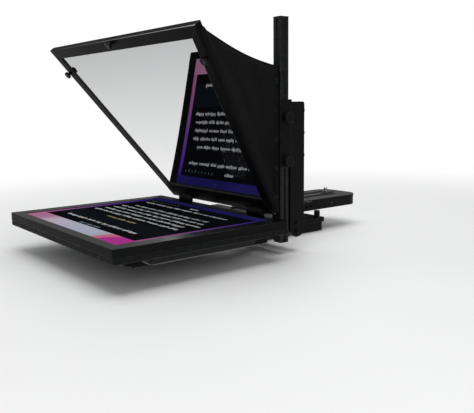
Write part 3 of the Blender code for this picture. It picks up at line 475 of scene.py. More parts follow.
def piece(name, work, body, look, smooth=40.0):
    """Makes an object of a bmesh, in the frame's axes, and rides it on a body."""
    mesh = bpy.data.meshes.new(name)
    work.to_mesh(mesh)
    work.free()
    item = bpy.data.objects.new(name, mesh)
    bpy.context.scene.collection.objects.link(item)
    mesh.materials.append(LOOKS[look])
    mesh.shade_smooth()
    mesh.set_sharp_from_angle(angle=math.radians(smooth))
    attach(item, body)
    return item


def hardware(name, work, body):
    piece(name, work, body, "black_steel")


def turn_to(origin, axis):
    """Places local +Z along an axis, at an origin."""
    return Matrix.Translation(origin) @ Vector(axis).to_track_quat("Z", "X").to_matrix().to_4x4()


def round_shape(radius, angle):
    return radius


def hex_shape(radius, angle):
    sector = math.pi / 3
    return radius * math.cos(sector / 2) / math.cos(angle % sector - sector / 2)


def knurl_shape(count, depth):
    def shape(radius, angle):
        return radius - depth * (0.5 - 0.5 * math.cos(count * angle))
    return shape


def skin(work, loops):
    """Joins a row of equal loops and closes both ends."""
    for first, second in zip(loops, loops[1:]):
        for index in range(len(first)):
            after = (index + 1) % len(first)
            work.faces.new((first[index], first[after], second[after], second[index]))
    work.faces.new(tuple(reversed(loops[0])))
    work.faces.new(tuple(loops[-1]))


def turned(work, rings, place, steps=24):
    """Adds a turned solid.

    rings are (height, radius) or (height, radius, shape) from the base to the top. A ring that goes
    back down makes a recess.
    """
    loops = []
    for height, radius, *shape in rings:
        reach_at = shape[0] if shape else round_shape
        loop = []
        for index in range(steps):
            angle = math.tau * index / steps
            reach = reach_at(radius, angle)
            point = Vector((reach * math.cos(angle), reach * math.sin(angle), height))
            loop.append(work.verts.new(place @ point))
        loops.append(loop)
    skin(work, loops)


def socket_bolt(work, origin, axis, radius, height):
    """A cap screw with a hexagon socket, standing on a face."""
    edge = 0.12 * radius
    rings = [(-0.0004, radius - edge), (edge * 0.5, radius), (height - edge, radius),
             (height, radius - edge), (height, 0.60 * radius, hex_shape),
             (0.35 * height, 0.56 * radius, hex_shape)]
    turned(work, rings, turn_to(origin, axis), 24)


def flat_screw(work, origin, axis, radius, height=0.0006):
    """A low countersunk screw with a small hexagon socket."""
    rings = [(-0.0003, radius), (height * 0.5, radius), (height, radius * 0.88)]
    rings += [(height, radius * 0.48, hex_shape), (height * 0.1, radius * 0.42, hex_shape)]
    turned(work, rings, turn_to(origin, axis), 18)


def slab(work, outline, place, start, end, edge=0.0003):
    """A flat convex or concave outline extruded between two heights, with its rims taken off."""
    shape = bmesh.new()
    base = [shape.verts.new((x, y, start)) for x, y in outline]
    face = shape.faces.new(base)
    made = bmesh.ops.extrude_face_region(shape, geom=[face])
    lifted = [v for v in made["geom"] if isinstance(v, bmesh.types.BMVert)]
    bmesh.ops.translate(shape, verts=lifted, vec=(0, 0, end - start))
    bmesh.ops.recalc_face_normals(shape, faces=shape.faces)
    if edge:
        rims = [e for e in shape.edges
                if len(e.link_faces) == 2 and e.calc_face_angle() > math.radians(30)]
        bmesh.ops.bevel(shape, geom=rims, offset=edge, segments=2, profile=0.5, affect="EDGES")
    bmesh.ops.transform(shape, matrix=place, verts=shape.verts)
    merge(work, shape)


def merge(work, shape):
    mesh = bpy.data.meshes.new("merge")
    shape.to_mesh(mesh)
    shape.free()
    work.from_mesh(mesh)
    bpy.data.meshes.remove(mesh)


def rounded(x0, x1, y0, y1, radius, count=4):
    """A rectangle's outline with round corners."""
    outline = []
    for cx, cy, start in ((x1 - radius, y1 - radius, 0), (x0 + radius, y1 - radius, 90),
                          (x0 + radius, y0 + radius, 180), (x1 - radius, y0 + radius, 270)):
        for index in range(count + 1):
            angle = math.radians(start + 90 * index / count)
            outline.append((cx + radius * math.cos(angle), cy + radius * math.sin(angle)))
    return outline


def tube(work, points, radius, sides=8):
    """A round cord along a list of points, closed at both ends."""
    points = [Vector(p) for p in points]
    across = None
    loops = []
    for index, point in enumerate(points):
        ahead = points[min(index + 1, len(points) - 1)] - points[max(index - 1, 0)]
        ahead.normalize()
        across = ahead.orthogonal() if across is None else across - ahead * across.dot(ahead)
        across.normalize()
        other = ahead.cross(across)
        loop = []
        for side in range(sides):
            angle = math.tau * side / sides
            outward = math.cos(angle) * across + math.sin(angle) * other
            loop.append(work.verts.new(point + radius * outward))
        loops.append(loop)
    skin(work, loops)


def sheet(surface, columns, rows, width, length, closed=False):
    """A grid from a function of two parameters between 0 and 1, with its UV map in metres."""
    work = bmesh.new()
    uv = work.loops.layers.uv.new("weave")
    points = [[work.verts.new(surface(i / columns, j / rows)) for i in range(columns + 1)]
              for j in range(rows + 1)]
    for j in range(rows):
        for i in range(columns):
            corners = ((i, j), (i + 1, j), (i + 1, j + 1), (i, j + 1))
            face = work.faces.new([points[b][a] for a, b in corners])
            for loop, (a, b) in zip(face.loops, corners):
                loop[uv].uv = (a / columns * width, b / rows * length)
    if closed:
        bmesh.ops.remove_doubles(work, verts=work.verts, dist=0.00001)
    return work


def fabric(name, work, body, look, thickness=None):
    """A piece of the hood, smooth over its folds, made from a sheet."""
    item = piece(name, work, body, look, SOFT_EDGES)
    if thickness:
        shell = item.modifiers.new("thickness", "SOLIDIFY")
        shell.thickness = thickness
        shell.offset = 0.0
    return item


# ------------ hood

HOOP_LOW, HOOP_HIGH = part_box("hood_frame")
CLOTH_SKIN = 0.0011
FRONT_LOW_S = 0.006
FRONT_TOP_S = LENGTH - 0.0145
FRONT_INSET = 0.0020
FRONT_W = BACK - 0.0018
REAR_HALF = HOOP_HIGH.x + 0.0018
REAR_Y = HOOP_HIGH.y - 0.0025
REAR_LOW = HOOP_LOW.z - 0.009
REAR_TOP = HOOP_HIGH.z + 0.0019
CORNER_FRONT = 0.010
CORNER_REAR = 0.012
SIDE_SHARE = 0.40


def outline_point(half_low, half_top, low_v, top_v, corner, v):
    """A point of the U: v up to SIDE_SHARE climbs the +X side, then crosses the top and comes down."""
    mirrored = v > 0.5
    share = 1 - v if mirrored else v
    up = Vector((half_top - half_low, top_v - low_v)).normalized()
    knee = Vector((half_top, top_v))
    if share <= SIDE_SHARE:
        point = Vector((half_low, low_v)).lerp(knee, share / SIDE_SHARE)
    else:
        point = knee.lerp(Vector((0.0, top_v)), (share - SIDE_SHARE) / (0.5 - SIDE_SHARE))
    along = (point - knee).length
    if along < corner:
        before = knee - up * corner
        after = knee + Vector((-corner, 0.0))
        t = 0.5 - 0.5 * along / corner if share <= SIDE_SHARE else 0.5 + 0.5 * along / corner
        point = before * (1 - t) ** 2 + knee * 2 * t * (1 - t) + after * t * t
    return Vector((-point.x, point.y)) if mirrored else point


def hood_front(v):
    p = outline_point(half_width(FRONT_LOW_S) - FRONT_INSET, half_width(FRONT_TOP_S) - FRONT_INSET,
                      FRONT_LOW_S, FRONT_TOP_S, CORNER_FRONT, v)
    return on_frame(p.x, p.y, FRONT_W)


def hood_rear(v):
    p = outline_point(REAR_HALF, REAR_HALF, REAR_LOW, REAR_TOP, CORNER_REAR, v)
    return Vector((p.x, REAR_Y, p.y))


def smooth(a, b, t):
    t = max(0.0, min(1.0, (t - a) / (b - a)))
    return t * t * (3 - 2 * t)


def hood_surface(u, v):
    """The hood's fabric: u from the mirror frame to the rear hoop, v round its U section."""
    point = hood_front(v).lerp(hood_rear(v), u)
    side = 1 - 2 * v
    share = min(v, 1 - v)
    hang = math.sin(math.pi * u)
    on_side = 1 - smooth(SIDE_SHARE - 0.06, SIDE_SHARE + 0.02, share)
    up = min(1.0, share / SIDE_SHARE)
    pull = math.sin(math.pi * min(1.0, up))
    inward = 0.0085 * hang * (0.25 + 0.75 * pull) * on_side
    sag = 0.0068 * hang * up * up
    top = smooth(SIDE_SHARE, SIDE_SHARE + 0.06, share)
    middle = max(0.0, 1 - (abs(side) / (1 - 2 * SIDE_SHARE)) ** 2)
    sag += 0.0095 * hang * middle * top
    fan = math.atan2(up - 1.04, u + 0.05)
    folds = 0.0014 * math.sin(11.0 * fan + 2.3 * side) * hang * on_side
    slanted = math.sin(19.0 * (u * 0.9 + up * 0.35) + 4.0 * side)
    folds += 0.0009 * slanted * hang * (0.3 + 0.7 * up) * on_side
    folds += 0.0011 * math.sin(23.0 * side + 9.0 * u) * hang * top
    rumple = noise.fractal(Vector((u * 3.2 + 5.0 * side, v * 9.0, 0.7)), 0.7, 2.1, 4) * 0.0016 * hang
    point.x -= math.copysign(inward - folds - rumple, side) * on_side
    point.z -= sag + (folds + rumple) * top
    return point


def make_hood():
    work = sheet(hood_surface, 64, 220, 0.19, 1.05)
    hood = fabric("hood_cloth", work, "glass_frame", "cloth", CLOTH_SKIN)
    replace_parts(hood, "hood_side_left", "hood_side_right", "hood_top")
    soft = [hood]

    for label, v in (("right", SIDE_SHARE), ("left", 1 - SIDE_SHARE)):
        work = bmesh.new()
        points = [hood_surface(u / 40, v) for u in range(1, 40)]
        outward = Vector((math.copysign(0.0008, 0.5 - v), 0.0, 0.0010))
        tube(work, [p + outward for p in points], 0.0013, 8)
        soft.append(piece("hood_piping_" + label, work, "glass_frame", "tape"))

    work = bmesh.new()
    for v in (SIDE_SHARE - 0.012, SIDE_SHARE + 0.008,
              1 - SIDE_SHARE + 0.012, 1 - SIDE_SHARE - 0.008, 0.012, 0.988):
        stitch_row(work, v)
    soft.append(piece("hood_stitching", work, "glass_frame", "thread"))

    for label, v0, v1 in (("right", 0.0, 0.020), ("left", 0.980, 1.0)):
        def hem(u, t, v0=v0, v1=v1):
            point = hood_surface(u, v0 + (v1 - v0) * t)
            return point + Vector((math.copysign(0.0009, 0.5 - v0), 0.0, 0.0))
        work = sheet(hem, 48, 6, 0.19, 0.02)
        soft.append(fabric("hood_hem_" + label, work, "glass_frame", "tape", 0.0008))
    for item in soft:
        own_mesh(item)


def stitch_row(work, v):
    """A line of short threads laid on the fabric."""
    count = 34
    lift = CLOTH_SKIN / 2 + 0.0003
    for index in range(1, count):
        u0 = index / count
        u1 = (index + 0.62) / count
        if u1 > 0.985:
            continue
        points = []
        for t in (0.0, 0.5, 1.0):
            u = u0 + (u1 - u0) * t
            point = hood_surface(u, v)
            slope_u = hood_surface(u + 0.01, v) - point
            slope_v = hood_surface(u, min(1.0, v + 0.004)) - hood_surface(u, max(0.0, v - 0.004))
            outward = slope_v.cross(slope_u).normalized()
            if outward.dot(point - Vector((0.0, point.y, 0.2))) < 0:
                outward = -outward
            points.append(point + outward * (lift + 0.0002 * math.sin(math.pi * t)))
        tube(work, points, 0.00035, 5)


def make_hood_front_tape():
    """The hook tape that holds the fabric to the back of the mirror frame."""
    width, thick = 0.0110, 0.0008

    def surface(u, v):
        inset = FRONT_INSET - 0.0008 + width * u
        p = outline_point(half_width(FRONT_LOW_S) - inset, half_width(FRONT_TOP_S) - inset,
                          FRONT_LOW_S, FRONT_TOP_S + 0.009 - width * u, 0.006, v)
        return on_frame(p.x, p.y, BACK - 0.0002 - thick / 2)
    work = sheet(surface, 6, 160, width, 1.05)
    fabric("hood_front_tape", work, "glass_frame", "tape", thick)


def make_hood_side_wraps():
    """The fabric's side edges, wrapped round the mirror frame's side bars up to their front faces."""
    profile = [(0.0010, -0.0030), (0.0012, -0.0060), (0.0012, BACK + 0.0015), (0.0009, BACK - 0.0008),
               (0.0000, BACK - 0.0024), (-0.0014, BACK - 0.0042), (-0.0026, BACK - 0.0058)]
    for label, side in SIDES:
        def surface(u, v, side=side):
            place = u * (len(profile) - 1)
            index = min(int(place), len(profile) - 2)
            out, w = (a + (b - a) * (place - index) for a, b in zip(profile[index], profile[index + 1]))
            s = 0.002 + (LENGTH - 0.012 - 2.2 * max(0.0, BACK - w)) * v
            ripple = 0.00025 * math.sin(90.0 * v) * math.sin(math.pi * u)
            return on_frame(side * (half_width(s) + out + ripple), s, w)
        work = sheet(surface, 18, 90, 0.022, LENGTH)
        fabric("hood_side_wrap_" + label, work, "glass_frame", "cloth", 0.0009)


def make_hood_rear_band():
    """The webbing that wraps the fabric round the rear hoop, with its snap fasteners."""
    half_wide = 0.0052
    centre_y = (HOOP_LOW.y + HOOP_HIGH.y) / 2 + 0.0012

    def surface(u, v):
        p = outline_point(REAR_HALF + 0.0012, REAR_HALF + 0.0012, REAR_LOW + 0.002, REAR_TOP + 0.0012,
                          CORNER_REAR, v)
        wave = 0.0003 * math.sin(61.0 * v) * math.sin(math.pi * u)
        return Vector((p.x, centre_y + half_wide * (2 * u - 1), p.y + wave))
    work = sheet(surface, 8, 200, 2 * half_wide, 0.85)
    fabric("hood_rear_band", work, "hood_frame", "tape", 0.0011)

    work = bmesh.new()
    for side in (-1, 1):
        for step in range(5):
            z = REAR_LOW + 0.022 + step * (REAR_TOP - REAR_LOW - 0.05) / 4
            snap(work, Vector((side * (REAR_HALF + 0.0016), centre_y, z)), X_AXIS * side)
    for step in range(6):
        x = -0.135 + 0.054 * step
        snap(work, Vector((x, centre_y, REAR_TOP + 0.0016)), Z_AXIS)
    hardware("hood_snaps", work, "hood_frame")


def snap(work, origin, axis):
    """The cap of a snap fastener."""
    rings = [(-0.0003, 0.0040), (0.0004, 0.0042), (0.0009, 0.0038),
             (0.0010, 0.0026), (0.0015, 0.0022), (0.0018, 0.0010)]
    turned(work, rings, turn_to(origin, axis), 20)


LENS_Z = (low("lens_sleeve").z + high("lens_sleeve").z) / 2
LENS_HOLE = 0.086
PANEL_LOW, PANEL_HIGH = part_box("hood_rear_panel")


def round_lens(angle, radius, y):
    """A point of a circle about the lens's axis."""
    return Vector((math.cos(angle) * radius, y, LENS_Z + math.sin(angle) * radius))


def make_rear_panel():
    """The rear sheet: flat on the hoop, puckered towards the gathered lens hole."""
    middle_y = (PANEL_LOW.y + PANEL_HIGH.y) / 2

    def surface(u, v):
        angle = math.tau * v
        c, s = math.cos(angle), math.sin(angle)
        top, bottom = PANEL_HIGH.z - LENS_Z, LENS_Z - PANEL_LOW.z
        reach = min(PANEL_HIGH.x / max(abs(c), 1e-6), (top if s > 0 else bottom) / max(abs(s), 1e-6))
        inner = LENS_HOLE - 0.0015
        radius = inner + (reach - inner) * u
        near = math.exp(-((radius - inner) / 0.030))
        pucker = 0.0011 * near * math.sin(30 * angle + 0.8 * math.sin(3 * angle))
        drift = noise.noise(Vector((c * 2.2, s * 2.2, u * 2.0)))
        slack = 0.0012 * math.sin(math.pi * min(1.0, u)) * drift
        return round_lens(angle, radius, middle_y + 0.0004 + max(-0.0006, pucker + slack))
    work = sheet(surface, 24, 240, 0.08, 0.90, True)
    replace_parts(fabric("hood_rear_sheet", work, "hood_frame", "cloth", 0.0010), "hood_rear_panel")

    work = bmesh.new()
    inset, stitch, y = 0.0045, 0.0055, PANEL_HIGH.y + 0.0006
    left, right = PANEL_LOW.x + inset, PANEL_HIGH.x - inset
    bottom, top = PANEL_LOW.z + inset, PANEL_HIGH.z - inset
    corners = [Vector((x, y, z)) for x, z in ((left, bottom), (right, bottom), (right, top), (left, top))]
    for start, end in zip(corners, corners[1:] + corners[:1]):
        count = int((end - start).length / stitch)
        for index in range(count):
            tube(work, [start.lerp(end, (index + t) / count) for t in (0.1, 0.4, 0.7)], 0.00035, 5)
    piece("rear_sheet_stitching", work, "hood_frame", "thread")


def make_lens_sleeve():
    """The gathered sleeve that closes on the lens, with an elastic hem."""
    start_y, end_y = low("lens_sleeve").y + 0.0012, high("lens_sleeve").y - 0.0022
    wide, narrow = 0.0835, 0.0665

    def surface(u, v):
        angle = math.tau * v
        gather = smooth(0.10, 1.0, u)
        ripple = 0.0016 * gather * math.sin(34 * angle + 1.2 * math.sin(2 * angle))
        ripple += 0.0010 * math.sin(math.pi * u) * math.sin(7 * angle + 3 * u)
        radius = wide + (narrow - wide) * u - 0.004 * math.sin(math.pi * u) + ripple
        return round_lens(angle, radius, start_y + (end_y - start_y) * u)
    work = sheet(surface, 28, 272, 0.05, 0.5, True)
    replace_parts(fabric("lens_sleeve_cloth", work, "hood_frame", "cloth", 0.0009), "lens_sleeve")

    def hem(u, v):
        angle = math.tau * v
        tube_angle = math.tau * u
        gather = 0.0004 * math.sin(68 * angle)
        radius = narrow + (0.0017 + gather) * math.cos(tube_angle)
        return round_lens(angle, radius, end_y + (0.0017 + gather) * math.sin(tube_angle))
    work = sheet(hem, 10, 408, 0.011, 0.42, True)
    fabric("lens_sleeve_elastic", work, "hood_frame", "elastic")


# ------------ script on the display

def make_script():
    """Greeked lines: rows of upright ticks grouped like words, with no letters, and a row of icons.

    A row is its depth from the display's front edge, where it starts and where it ends.
    """
    draw = random.Random(19)
    top = high("lcd_panel").z + 0.00012
    lines = {
        "script": [(0.068, -0.135, 0.127), (0.1360, -0.157, 0.152), (0.1556, -0.152, 0.145),
                   (0.1752, -0.151, 0.143), (0.1947, -0.153, 0.147), (0.2143, -0.131, 0.124),
                   (0.2535, -0.152, 0.138), (0.2730, -0.014, 0.012)],
        "cue": [(0.112, -0.058, 0.046)],
        "faint": [(0.046, -0.037, 0.030)],
    }
    icon_count, icon_start, icon_step, icon_depth = 9, -0.160, 0.0125, 0.2735
    for look, rows in lines.items():
        work = bmesh.new()
        for depth, start, end in rows:
            x = start
            while x < end - 0.004:
                for _ in range(draw.randint(5, 16)):
                    x += greeked_stroke(work, draw, x, SCREEN_LOW.y + depth, top)
                x += 0.0050
        if look == "faint":
            for step in range(icon_count):
                greeked_stroke(work, draw, icon_start + icon_step * step, SCREEN_LOW.y + icon_depth, top)
        piece(look + "_lines", work, "mast", look)


def greeked_stroke(work, draw, x, y, top):
    """One upright tick of a greeked word; returns the room it takes."""
    wide = draw.uniform(0.0011, 0.0016)
    tall = draw.uniform(0.0046, 0.0056)
    above = draw.choice((0.0, 0.0, 0.0, 0.0026))
    below = 0.0 if above else draw.choice((0.0, 0.0, 0.0, 0.0, 0.0022))
    outline = rounded(x, x + wide, y - tall / 2 - above, y + tall / 2 + below, 0.0005, 2)
    slab(work, outline, Matrix.Identity(4), top, top + 0.00015, 0.0)
    return wide + draw.choice((0.0011, 0.0017, 0.0024))


# ------------ knobs and screws

def knurled(node, axis, teeth, look, rings_for):
    """Stands a turned, knurled piece in for a packed knob or screw, from its start to its reach."""
    pivot = Vector(JOINTS[node + "_turn"]["pos_m"])
    along = [(v.co - pivot).dot(axis) for v in NODES[node].data.vertices]
    work = bmesh.new()
    turned(work, rings_for(min(along), max(along)), turn_to(pivot, axis), teeth * 6)
    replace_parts(piece(node + "_knurled", work, node, look, KNURL_EDGES), node)


def make_knobs():
    """The clamp's two knobs: a knurled head with a dished face on a plain hub and a stud."""
    radius, hub, stud, head_length, hub_length, teeth = 0.0110, 0.0078, 0.0024, 0.0068, 0.0056, 22
    knurl = knurl_shape(teeth, 0.0009)

    def rings(start, reach):
        face = reach - head_length
        return [(start, stud), (face - hub_length - 0.0001, stud), (face - hub_length, hub - 0.0006),
                (face - hub_length + 0.0006, hub), (face - 0.0004, hub), (face - 0.0002, radius - 0.0012),
                (face + 0.0009, radius, knurl), (reach - 0.0010, radius, knurl),
                (reach - 0.0002, radius - 0.0012), (reach, radius * 0.74),
                (reach - 0.0006, radius * 0.66), (reach - 0.0008, radius * 0.2)]
    for label in ("lower", "upper"):
        knurled("clamp_knob_" + label, X_AXIS, teeth, "plastic", rings)


def make_thumb_screws():
    """Disc-headed screws with a fine knurl, on a collar."""
    radius, collar, stud, head_length, collar_length, teeth = 0.0070, 0.0033, 0.0016, 0.0056, 0.0036, 28
    knurl = knurl_shape(teeth, 0.0005)

    def rings(start, reach):
        face = reach - head_length
        return [(start, stud), (face - collar_length - 0.0001, stud), (face - collar_length, collar),
                (face - 0.0001, collar), (face, radius - 0.0010), (face + 0.0006, radius, knurl),
                (reach - 0.0008, radius, knurl), (reach - 0.0002, radius * 0.90), (reach, radius * 0.69),
                (reach - 0.0005, radius * 0.57), (reach - 0.0006, radius * 0.14)]
    for label in ("left", "right", "top"):
        knurled("thumb_screw_" + label, FACING, teeth, "black_steel", rings)


def make_base_hardware():
    """Cap screws on the beam and the upright, and countersunk ones in the deck."""
    beam_top = high("cross_beam").z
    beam_y = (low("cross_beam").y + high("cross_beam").y) / 2
    work = bmesh.new()
    for x in (-0.030, 0.030):
        socket_bolt(work, Vector((x, beam_y, beam_top)), Z_AXIS, 0.0050, 0.0034)
    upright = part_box("upright")
    middle_x = (upright[0].x + upright[1].x) / 2
    middle_y = (upright[0].y + upright[1].y) / 2
    for z in (0.040, 0.056):
        socket_bolt(work, Vector((upright[1].x, middle_y, z)), X_AXIS, 0.0044, 0.0034)
    for z in (0.185, 0.227, 0.269):
        socket_bolt(work, Vector((middle_x, upright[1].y, z)), Y_AXIS, 0.0042, 0.0032)
    hardware("base_bolts", work, "base")

    work = bmesh.new()
    deck_top = low("lock_block").z
    for x in (-0.053, 0.053):
        flat_screw(work, Vector((x, 0.079, deck_top)), Z_AXIS, 0.0036, 0.0010)
    hardware("base_screws", work, "base")


def make_camera_plate_details():
    """Ribbed rubber grips on top, an index scale on the flange, and cap screws for the keepers."""
    top = high("camera_plate").z
    front, rear = low("camera_plate").y, high("camera_plate").y
    for label, side in SIDES:
        work = bmesh.new()
        x0, x1 = sorted((side * 0.0145, side * 0.0240))
        base = rounded(x0, x1, front + 0.010, rear - 0.045, 0.002)
        slab(work, base, Matrix.Identity(4), top + 0.0001, top + 0.0009)
        y = front + 0.014
        while y < rear - 0.050:
            slab(work, rounded(x0 + 0.0012, x1 - 0.0012, y, y + 0.0016, 0.0004, 2), Matrix.Identity(4),
                 top + 0.0008, top + 0.0014, 0.0002)
            y += 0.0034
        piece("plate_grip_" + label, work, "camera_plate", "rubber")
    work = bmesh.new()
    face_x = high("camera_plate").x
    facing_x = Matrix(((0, 0, 1, 0), (1, 0, 0, 0), (0, 1, 0, 0), (0, 0, 0, 1)))
    side_axes = Matrix.Translation((face_x, 0, 0)) @ facing_x
    for step in range(23):
        y = front + 0.020 + 0.005 * step
        end = top - 0.0015
        start = end - (0.0042 if step % 5 == 0 else 0.0024)
        mark = [(y - 0.0002, start), (y + 0.0002, start), (y + 0.0002, end), (y - 0.0002, end)]
        slab(work, mark, side_axes, 0.0, 0.00012, 0.0)
    # The scale marks glow with painted light.
    piece("plate_scale", work, "camera_plate", "mark")
    work = bmesh.new()
    for side in (-1, 1):
        for y in (-0.070, -0.020, 0.075, 0.125):
            socket_bolt(work, Vector((side * face_x, y, 0.0530)), X_AXIS * side, 0.0022, 0.0012)
    hardware("plate_keeper_screws", work, "camera_plate")
    pivot = Vector(JOINTS["plate_lock_turn"]["pos_m"])
    work = bmesh.new()
    socket_bolt(work, Vector((low("plate_lock_lever").x, pivot.y, pivot.z)), -X_AXIS, 0.0042, 0.0020)
    piece("lock_lever_screw", work, "plate_lock", "steel")


def make_mast_hardware():
    """The screws of the mast's bracket, the rails, the monitor's case and the hinge blocks."""
    work = bmesh.new()
    bar_top = high("cross_bar").z
    leg_x = low("mast").x
    y = (low("mast").y + high("mast").y) / 2
    foot_top = bar_top + 0.0053
    for x in (0.1155, 0.1265):
        socket_bolt(work, Vector((x, y, foot_top)), Z_AXIS, 0.0038, 0.0028)
    for z in (0.075, 0.088):
        socket_bolt(work, Vector((leg_x - 0.0053, y, z)), -X_AXIS, 0.0038, 0.0028)
    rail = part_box("monitor_rail_left")
    for side in (-1, 1):
        for along in (-0.410, -0.250, -0.137):
            spot = Vector((side * (rail[0].x + rail[1].x) / -2, along, rail[0].z))
            socket_bolt(work, spot, -Z_AXIS, 0.0042, 0.0026)
    hardware("mast_bolts", work, "mast")

    work = bmesh.new()
    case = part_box("monitor_tray")
    seam_z = (case[0].z + case[1].z) / 2 - 0.0003
    for side in (-1, 1):
        for along in (0.040, 0.135, 0.230, 0.318):
            spot = Vector((side * case[1].x, case[0].y + along, seam_z))
            flat_screw(work, spot, X_AXIS * side, 0.0019, 0.0003)
    for x in (-0.170, -0.060, 0.060, 0.170):
        flat_screw(work, Vector((x, case[0].y, seam_z)), -Y_AXIS, 0.0019, 0.0003)
    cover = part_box("rear_cover")
    for x in (-0.160, -0.055, 0.055, 0.160):
        for along in (cover[0].y + 0.030, cover[1].y - 0.014):
            flat_screw(work, Vector((x, along, cover[0].z)), -Z_AXIS, 0.0030, 0.0006)
    hardware("monitor_screws", work, "mast")

    work = bmesh.new()
    for node in ("hinge_block_left", "hinge_block_right"):
        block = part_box(node)
        for x in (block[0].x + 0.010, block[1].x - 0.010):
            spot = Vector((x, block[0].y + 0.0050, block[0].z + 0.008))
            flat_screw(work, spot, Y_AXIS, 0.0028, 0.0010)
    hardware("hinge_screws", work, "mast")


def make_frame_hardware():
    """Corner plates over the frame's mitres, and the screws that hold the glass retainer."""
    plates = bmesh.new()
    screws = bmesh.new()

    def back_screw(x, s, w, radius):
        flat_screw(screws, on_frame(x, s, w), -FACING, radius, 0.0003)

    lean = math.atan2(HALF_TOP - HALF_BOTTOM, LENGTH)
    wide, reach = 0.0075, 0.034
    for side in (-1, 1):
        for level, s in ((1, LENGTH - BAR_TOP + 0.0006), (-1, BAR_BOTTOM - 0.0006)):
            x = half_width(s) - BAR_SIDE + 0.0006
            corner = Vector((x, s))
            down = Vector((math.sin(lean), math.cos(lean))) * -level
            inward = Vector((-1.0, 0.0))
            thick = Vector((wide, 0.0))
            rise = Vector((0.0, level * wide))
            outline = [corner + inward * reach, corner, corner + down * reach,
                       corner + down * reach + thick, corner + thick + rise,
                       corner + inward * reach + rise]
            points = [(side * p.x, p.y) for p in outline]
            slab(plates, points, FRAME_AXES, BACK - 0.0001, BACK - 0.0013, 0.0002)
            for spot in (corner + inward * (reach - 0.006) + rise / 2, corner + inward * 0.010 + rise / 2,
                         corner + down * (reach - 0.006) + thick / 2, corner + down * 0.010 + thick / 2):
                back_screw(side * spot.x, spot.y, BACK - 0.0013, 0.0024)
    inset = BAR_SIDE - 0.0035
    for side in (-1, 1):
        for step in range(1, 5):
            s = BAR_BOTTOM + (LENGTH - BAR_TOP - BAR_BOTTOM) * step / 5
            back_screw(side * (half_width(s) - inset), s, BACK + 0.0003, 0.0018)
    for x in (-0.15, -0.05, 0.05, 0.15):
        back_screw(x, LENGTH - BAR_TOP + 0.0035, BACK + 0.0003, 0.0018)
    for x in (-0.09, 0.0, 0.09):
        back_screw(x, BAR_BOTTOM - 0.0035, BACK + 0.0003, 0.0018)
    hardware("frame_corner_plates", plates, "glass_frame")
    hardware("frame_screws", screws, "glass_frame")


# ------------ studio

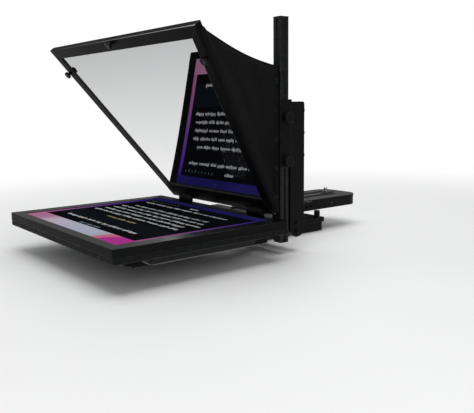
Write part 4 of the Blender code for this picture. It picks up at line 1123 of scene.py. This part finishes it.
def make_studio():
    """A pale floor that fades into a white surround, a large overhead light, two fills and a rim light.

    Reflections see the floor as plain white.
    """
    g = Graph("pale_floor")
    x, y, _ = g.axes()
    reach = g.hypotenuse(x, y)
    tone = g.ramp(g.noise(1.4, 4.0), [(0.3, (0.86, 0.86, 0.86)), (0.7, (0.90, 0.90, 0.90))])
    g.set(Base_Color=tone, Roughness=0.75, Normal=g.bump(g.noise(220.0, 2.0), 0.0001))
    glow = g.add("ShaderNodeEmission", {"Color": (1.0, 1.0, 1.0, 1.0), "Strength": 1.0})
    mirrored = g.add("ShaderNodeLightPath").outputs["Is Glossy Ray"]
    fade = g.math("MAXIMUM", g.remap(reach, 0.45, 1.5, smooth=True), mirrored)
    both = g.add("ShaderNodeMixShader", {0: fade, 1: g.shader.outputs[0], 2: glow.outputs[0]})
    g.links.new(both.outputs[0], g.nodes["Material Output"].inputs["Surface"])
    work = bmesh.new()
    bmesh.ops.create_circle(work, cap_ends=True, segments=96, radius=12.0)
    mesh = bpy.data.meshes.new("floor")
    work.to_mesh(mesh)
    work.free()
    floor = bpy.data.objects.new("floor", mesh)
    floor.location.z = -0.0008
    mesh.materials.append(g.material)
    bpy.context.scene.collection.objects.link(floor)

    world = bpy.data.worlds.new("studio")
    bpy.context.scene.world = world
    world.use_nodes = True
    nodes, links = world.node_tree.nodes, world.node_tree.links
    nodes.clear()

    def sky(colour, strength):
        node = nodes.new("ShaderNodeBackground")
        node.inputs["Color"].default_value = colour
        node.inputs["Strength"].default_value = strength
        return node.outputs[0]
    both = nodes.new("ShaderNodeMixShader")
    links.new(nodes.new("ShaderNodeLightPath").outputs["Is Camera Ray"], both.inputs[0])
    links.new(sky((0.97, 0.985, 1.0, 1.0), 0.30), both.inputs[1])
    links.new(sky((1.0, 1.0, 1.0, 1.0), 1.0), both.inputs[2])
    links.new(both.outputs[0], nodes.new("ShaderNodeOutputWorld").inputs[0])

    area_light("overhead", (0.2, -0.3, 2.2), 36.0, 2.0)
    area_light("front_fill", (1.7, -1.2, 0.9), 6.0, 1.2)
    area_light("rear_fill", (-1.2, 1.4, 1.3), 8.0, 1.2)
    area_light("rim", (-1.74, -1.88, 0.96), 3.0, 0.8)
    bpy.context.scene.view_settings.view_transform = "Standard"


def area_light(name, position, power, size):
    """A soft square light that looks at the monitor."""
    data = bpy.data.lights.new(name, "AREA")
    data.energy = power
    data.size = size
    lamp = bpy.data.objects.new(name, data)
    lamp.location = position
    aim = Vector((0.0, -0.25, 0.15)) - Vector(position)
    lamp.rotation_euler = aim.to_track_quat("-Z", "Y").to_euler()
    bpy.context.scene.collection.objects.link(lamp)


def make_camera():
    """Low on the operator's side and in front, looking back along the mirror."""
    data = bpy.data.cameras.new("camera")
    data.sensor_width = 36.0
    data.lens = 47.96
    data.clip_start = 0.01
    camera = bpy.data.objects.new("camera", data)
    heading, dip, roll = 0.903317, 0.161853, -0.011880
    ahead = Vector((-math.sin(heading) * math.cos(dip), math.cos(heading) * math.cos(dip),
                    -math.sin(dip)))
    right = ahead.cross(Z_AXIS).normalized()
    up = right.cross(ahead)
    tilted_right = right * math.cos(roll) + up * math.sin(roll)
    tilted_up = up * math.cos(roll) - right * math.sin(roll)
    turn = Matrix((tilted_right, tilted_up, -ahead)).transposed()
    camera.matrix_world = Matrix.Translation((1.02997, -0.92813, 0.28270)) @ turn.to_4x4()
    bpy.context.scene.collection.objects.link(camera)
    bpy.context.scene.camera = camera


dress_nodes()
make_hood()
make_hood_front_tape()
make_hood_side_wraps()
make_hood_rear_band()
make_rear_panel()
make_lens_sleeve()
make_script()
make_knobs()
make_thumb_screws()
make_base_hardware()
make_camera_plate_details()
make_mast_hardware()
make_frame_hardware()
make_studio()
make_camera()
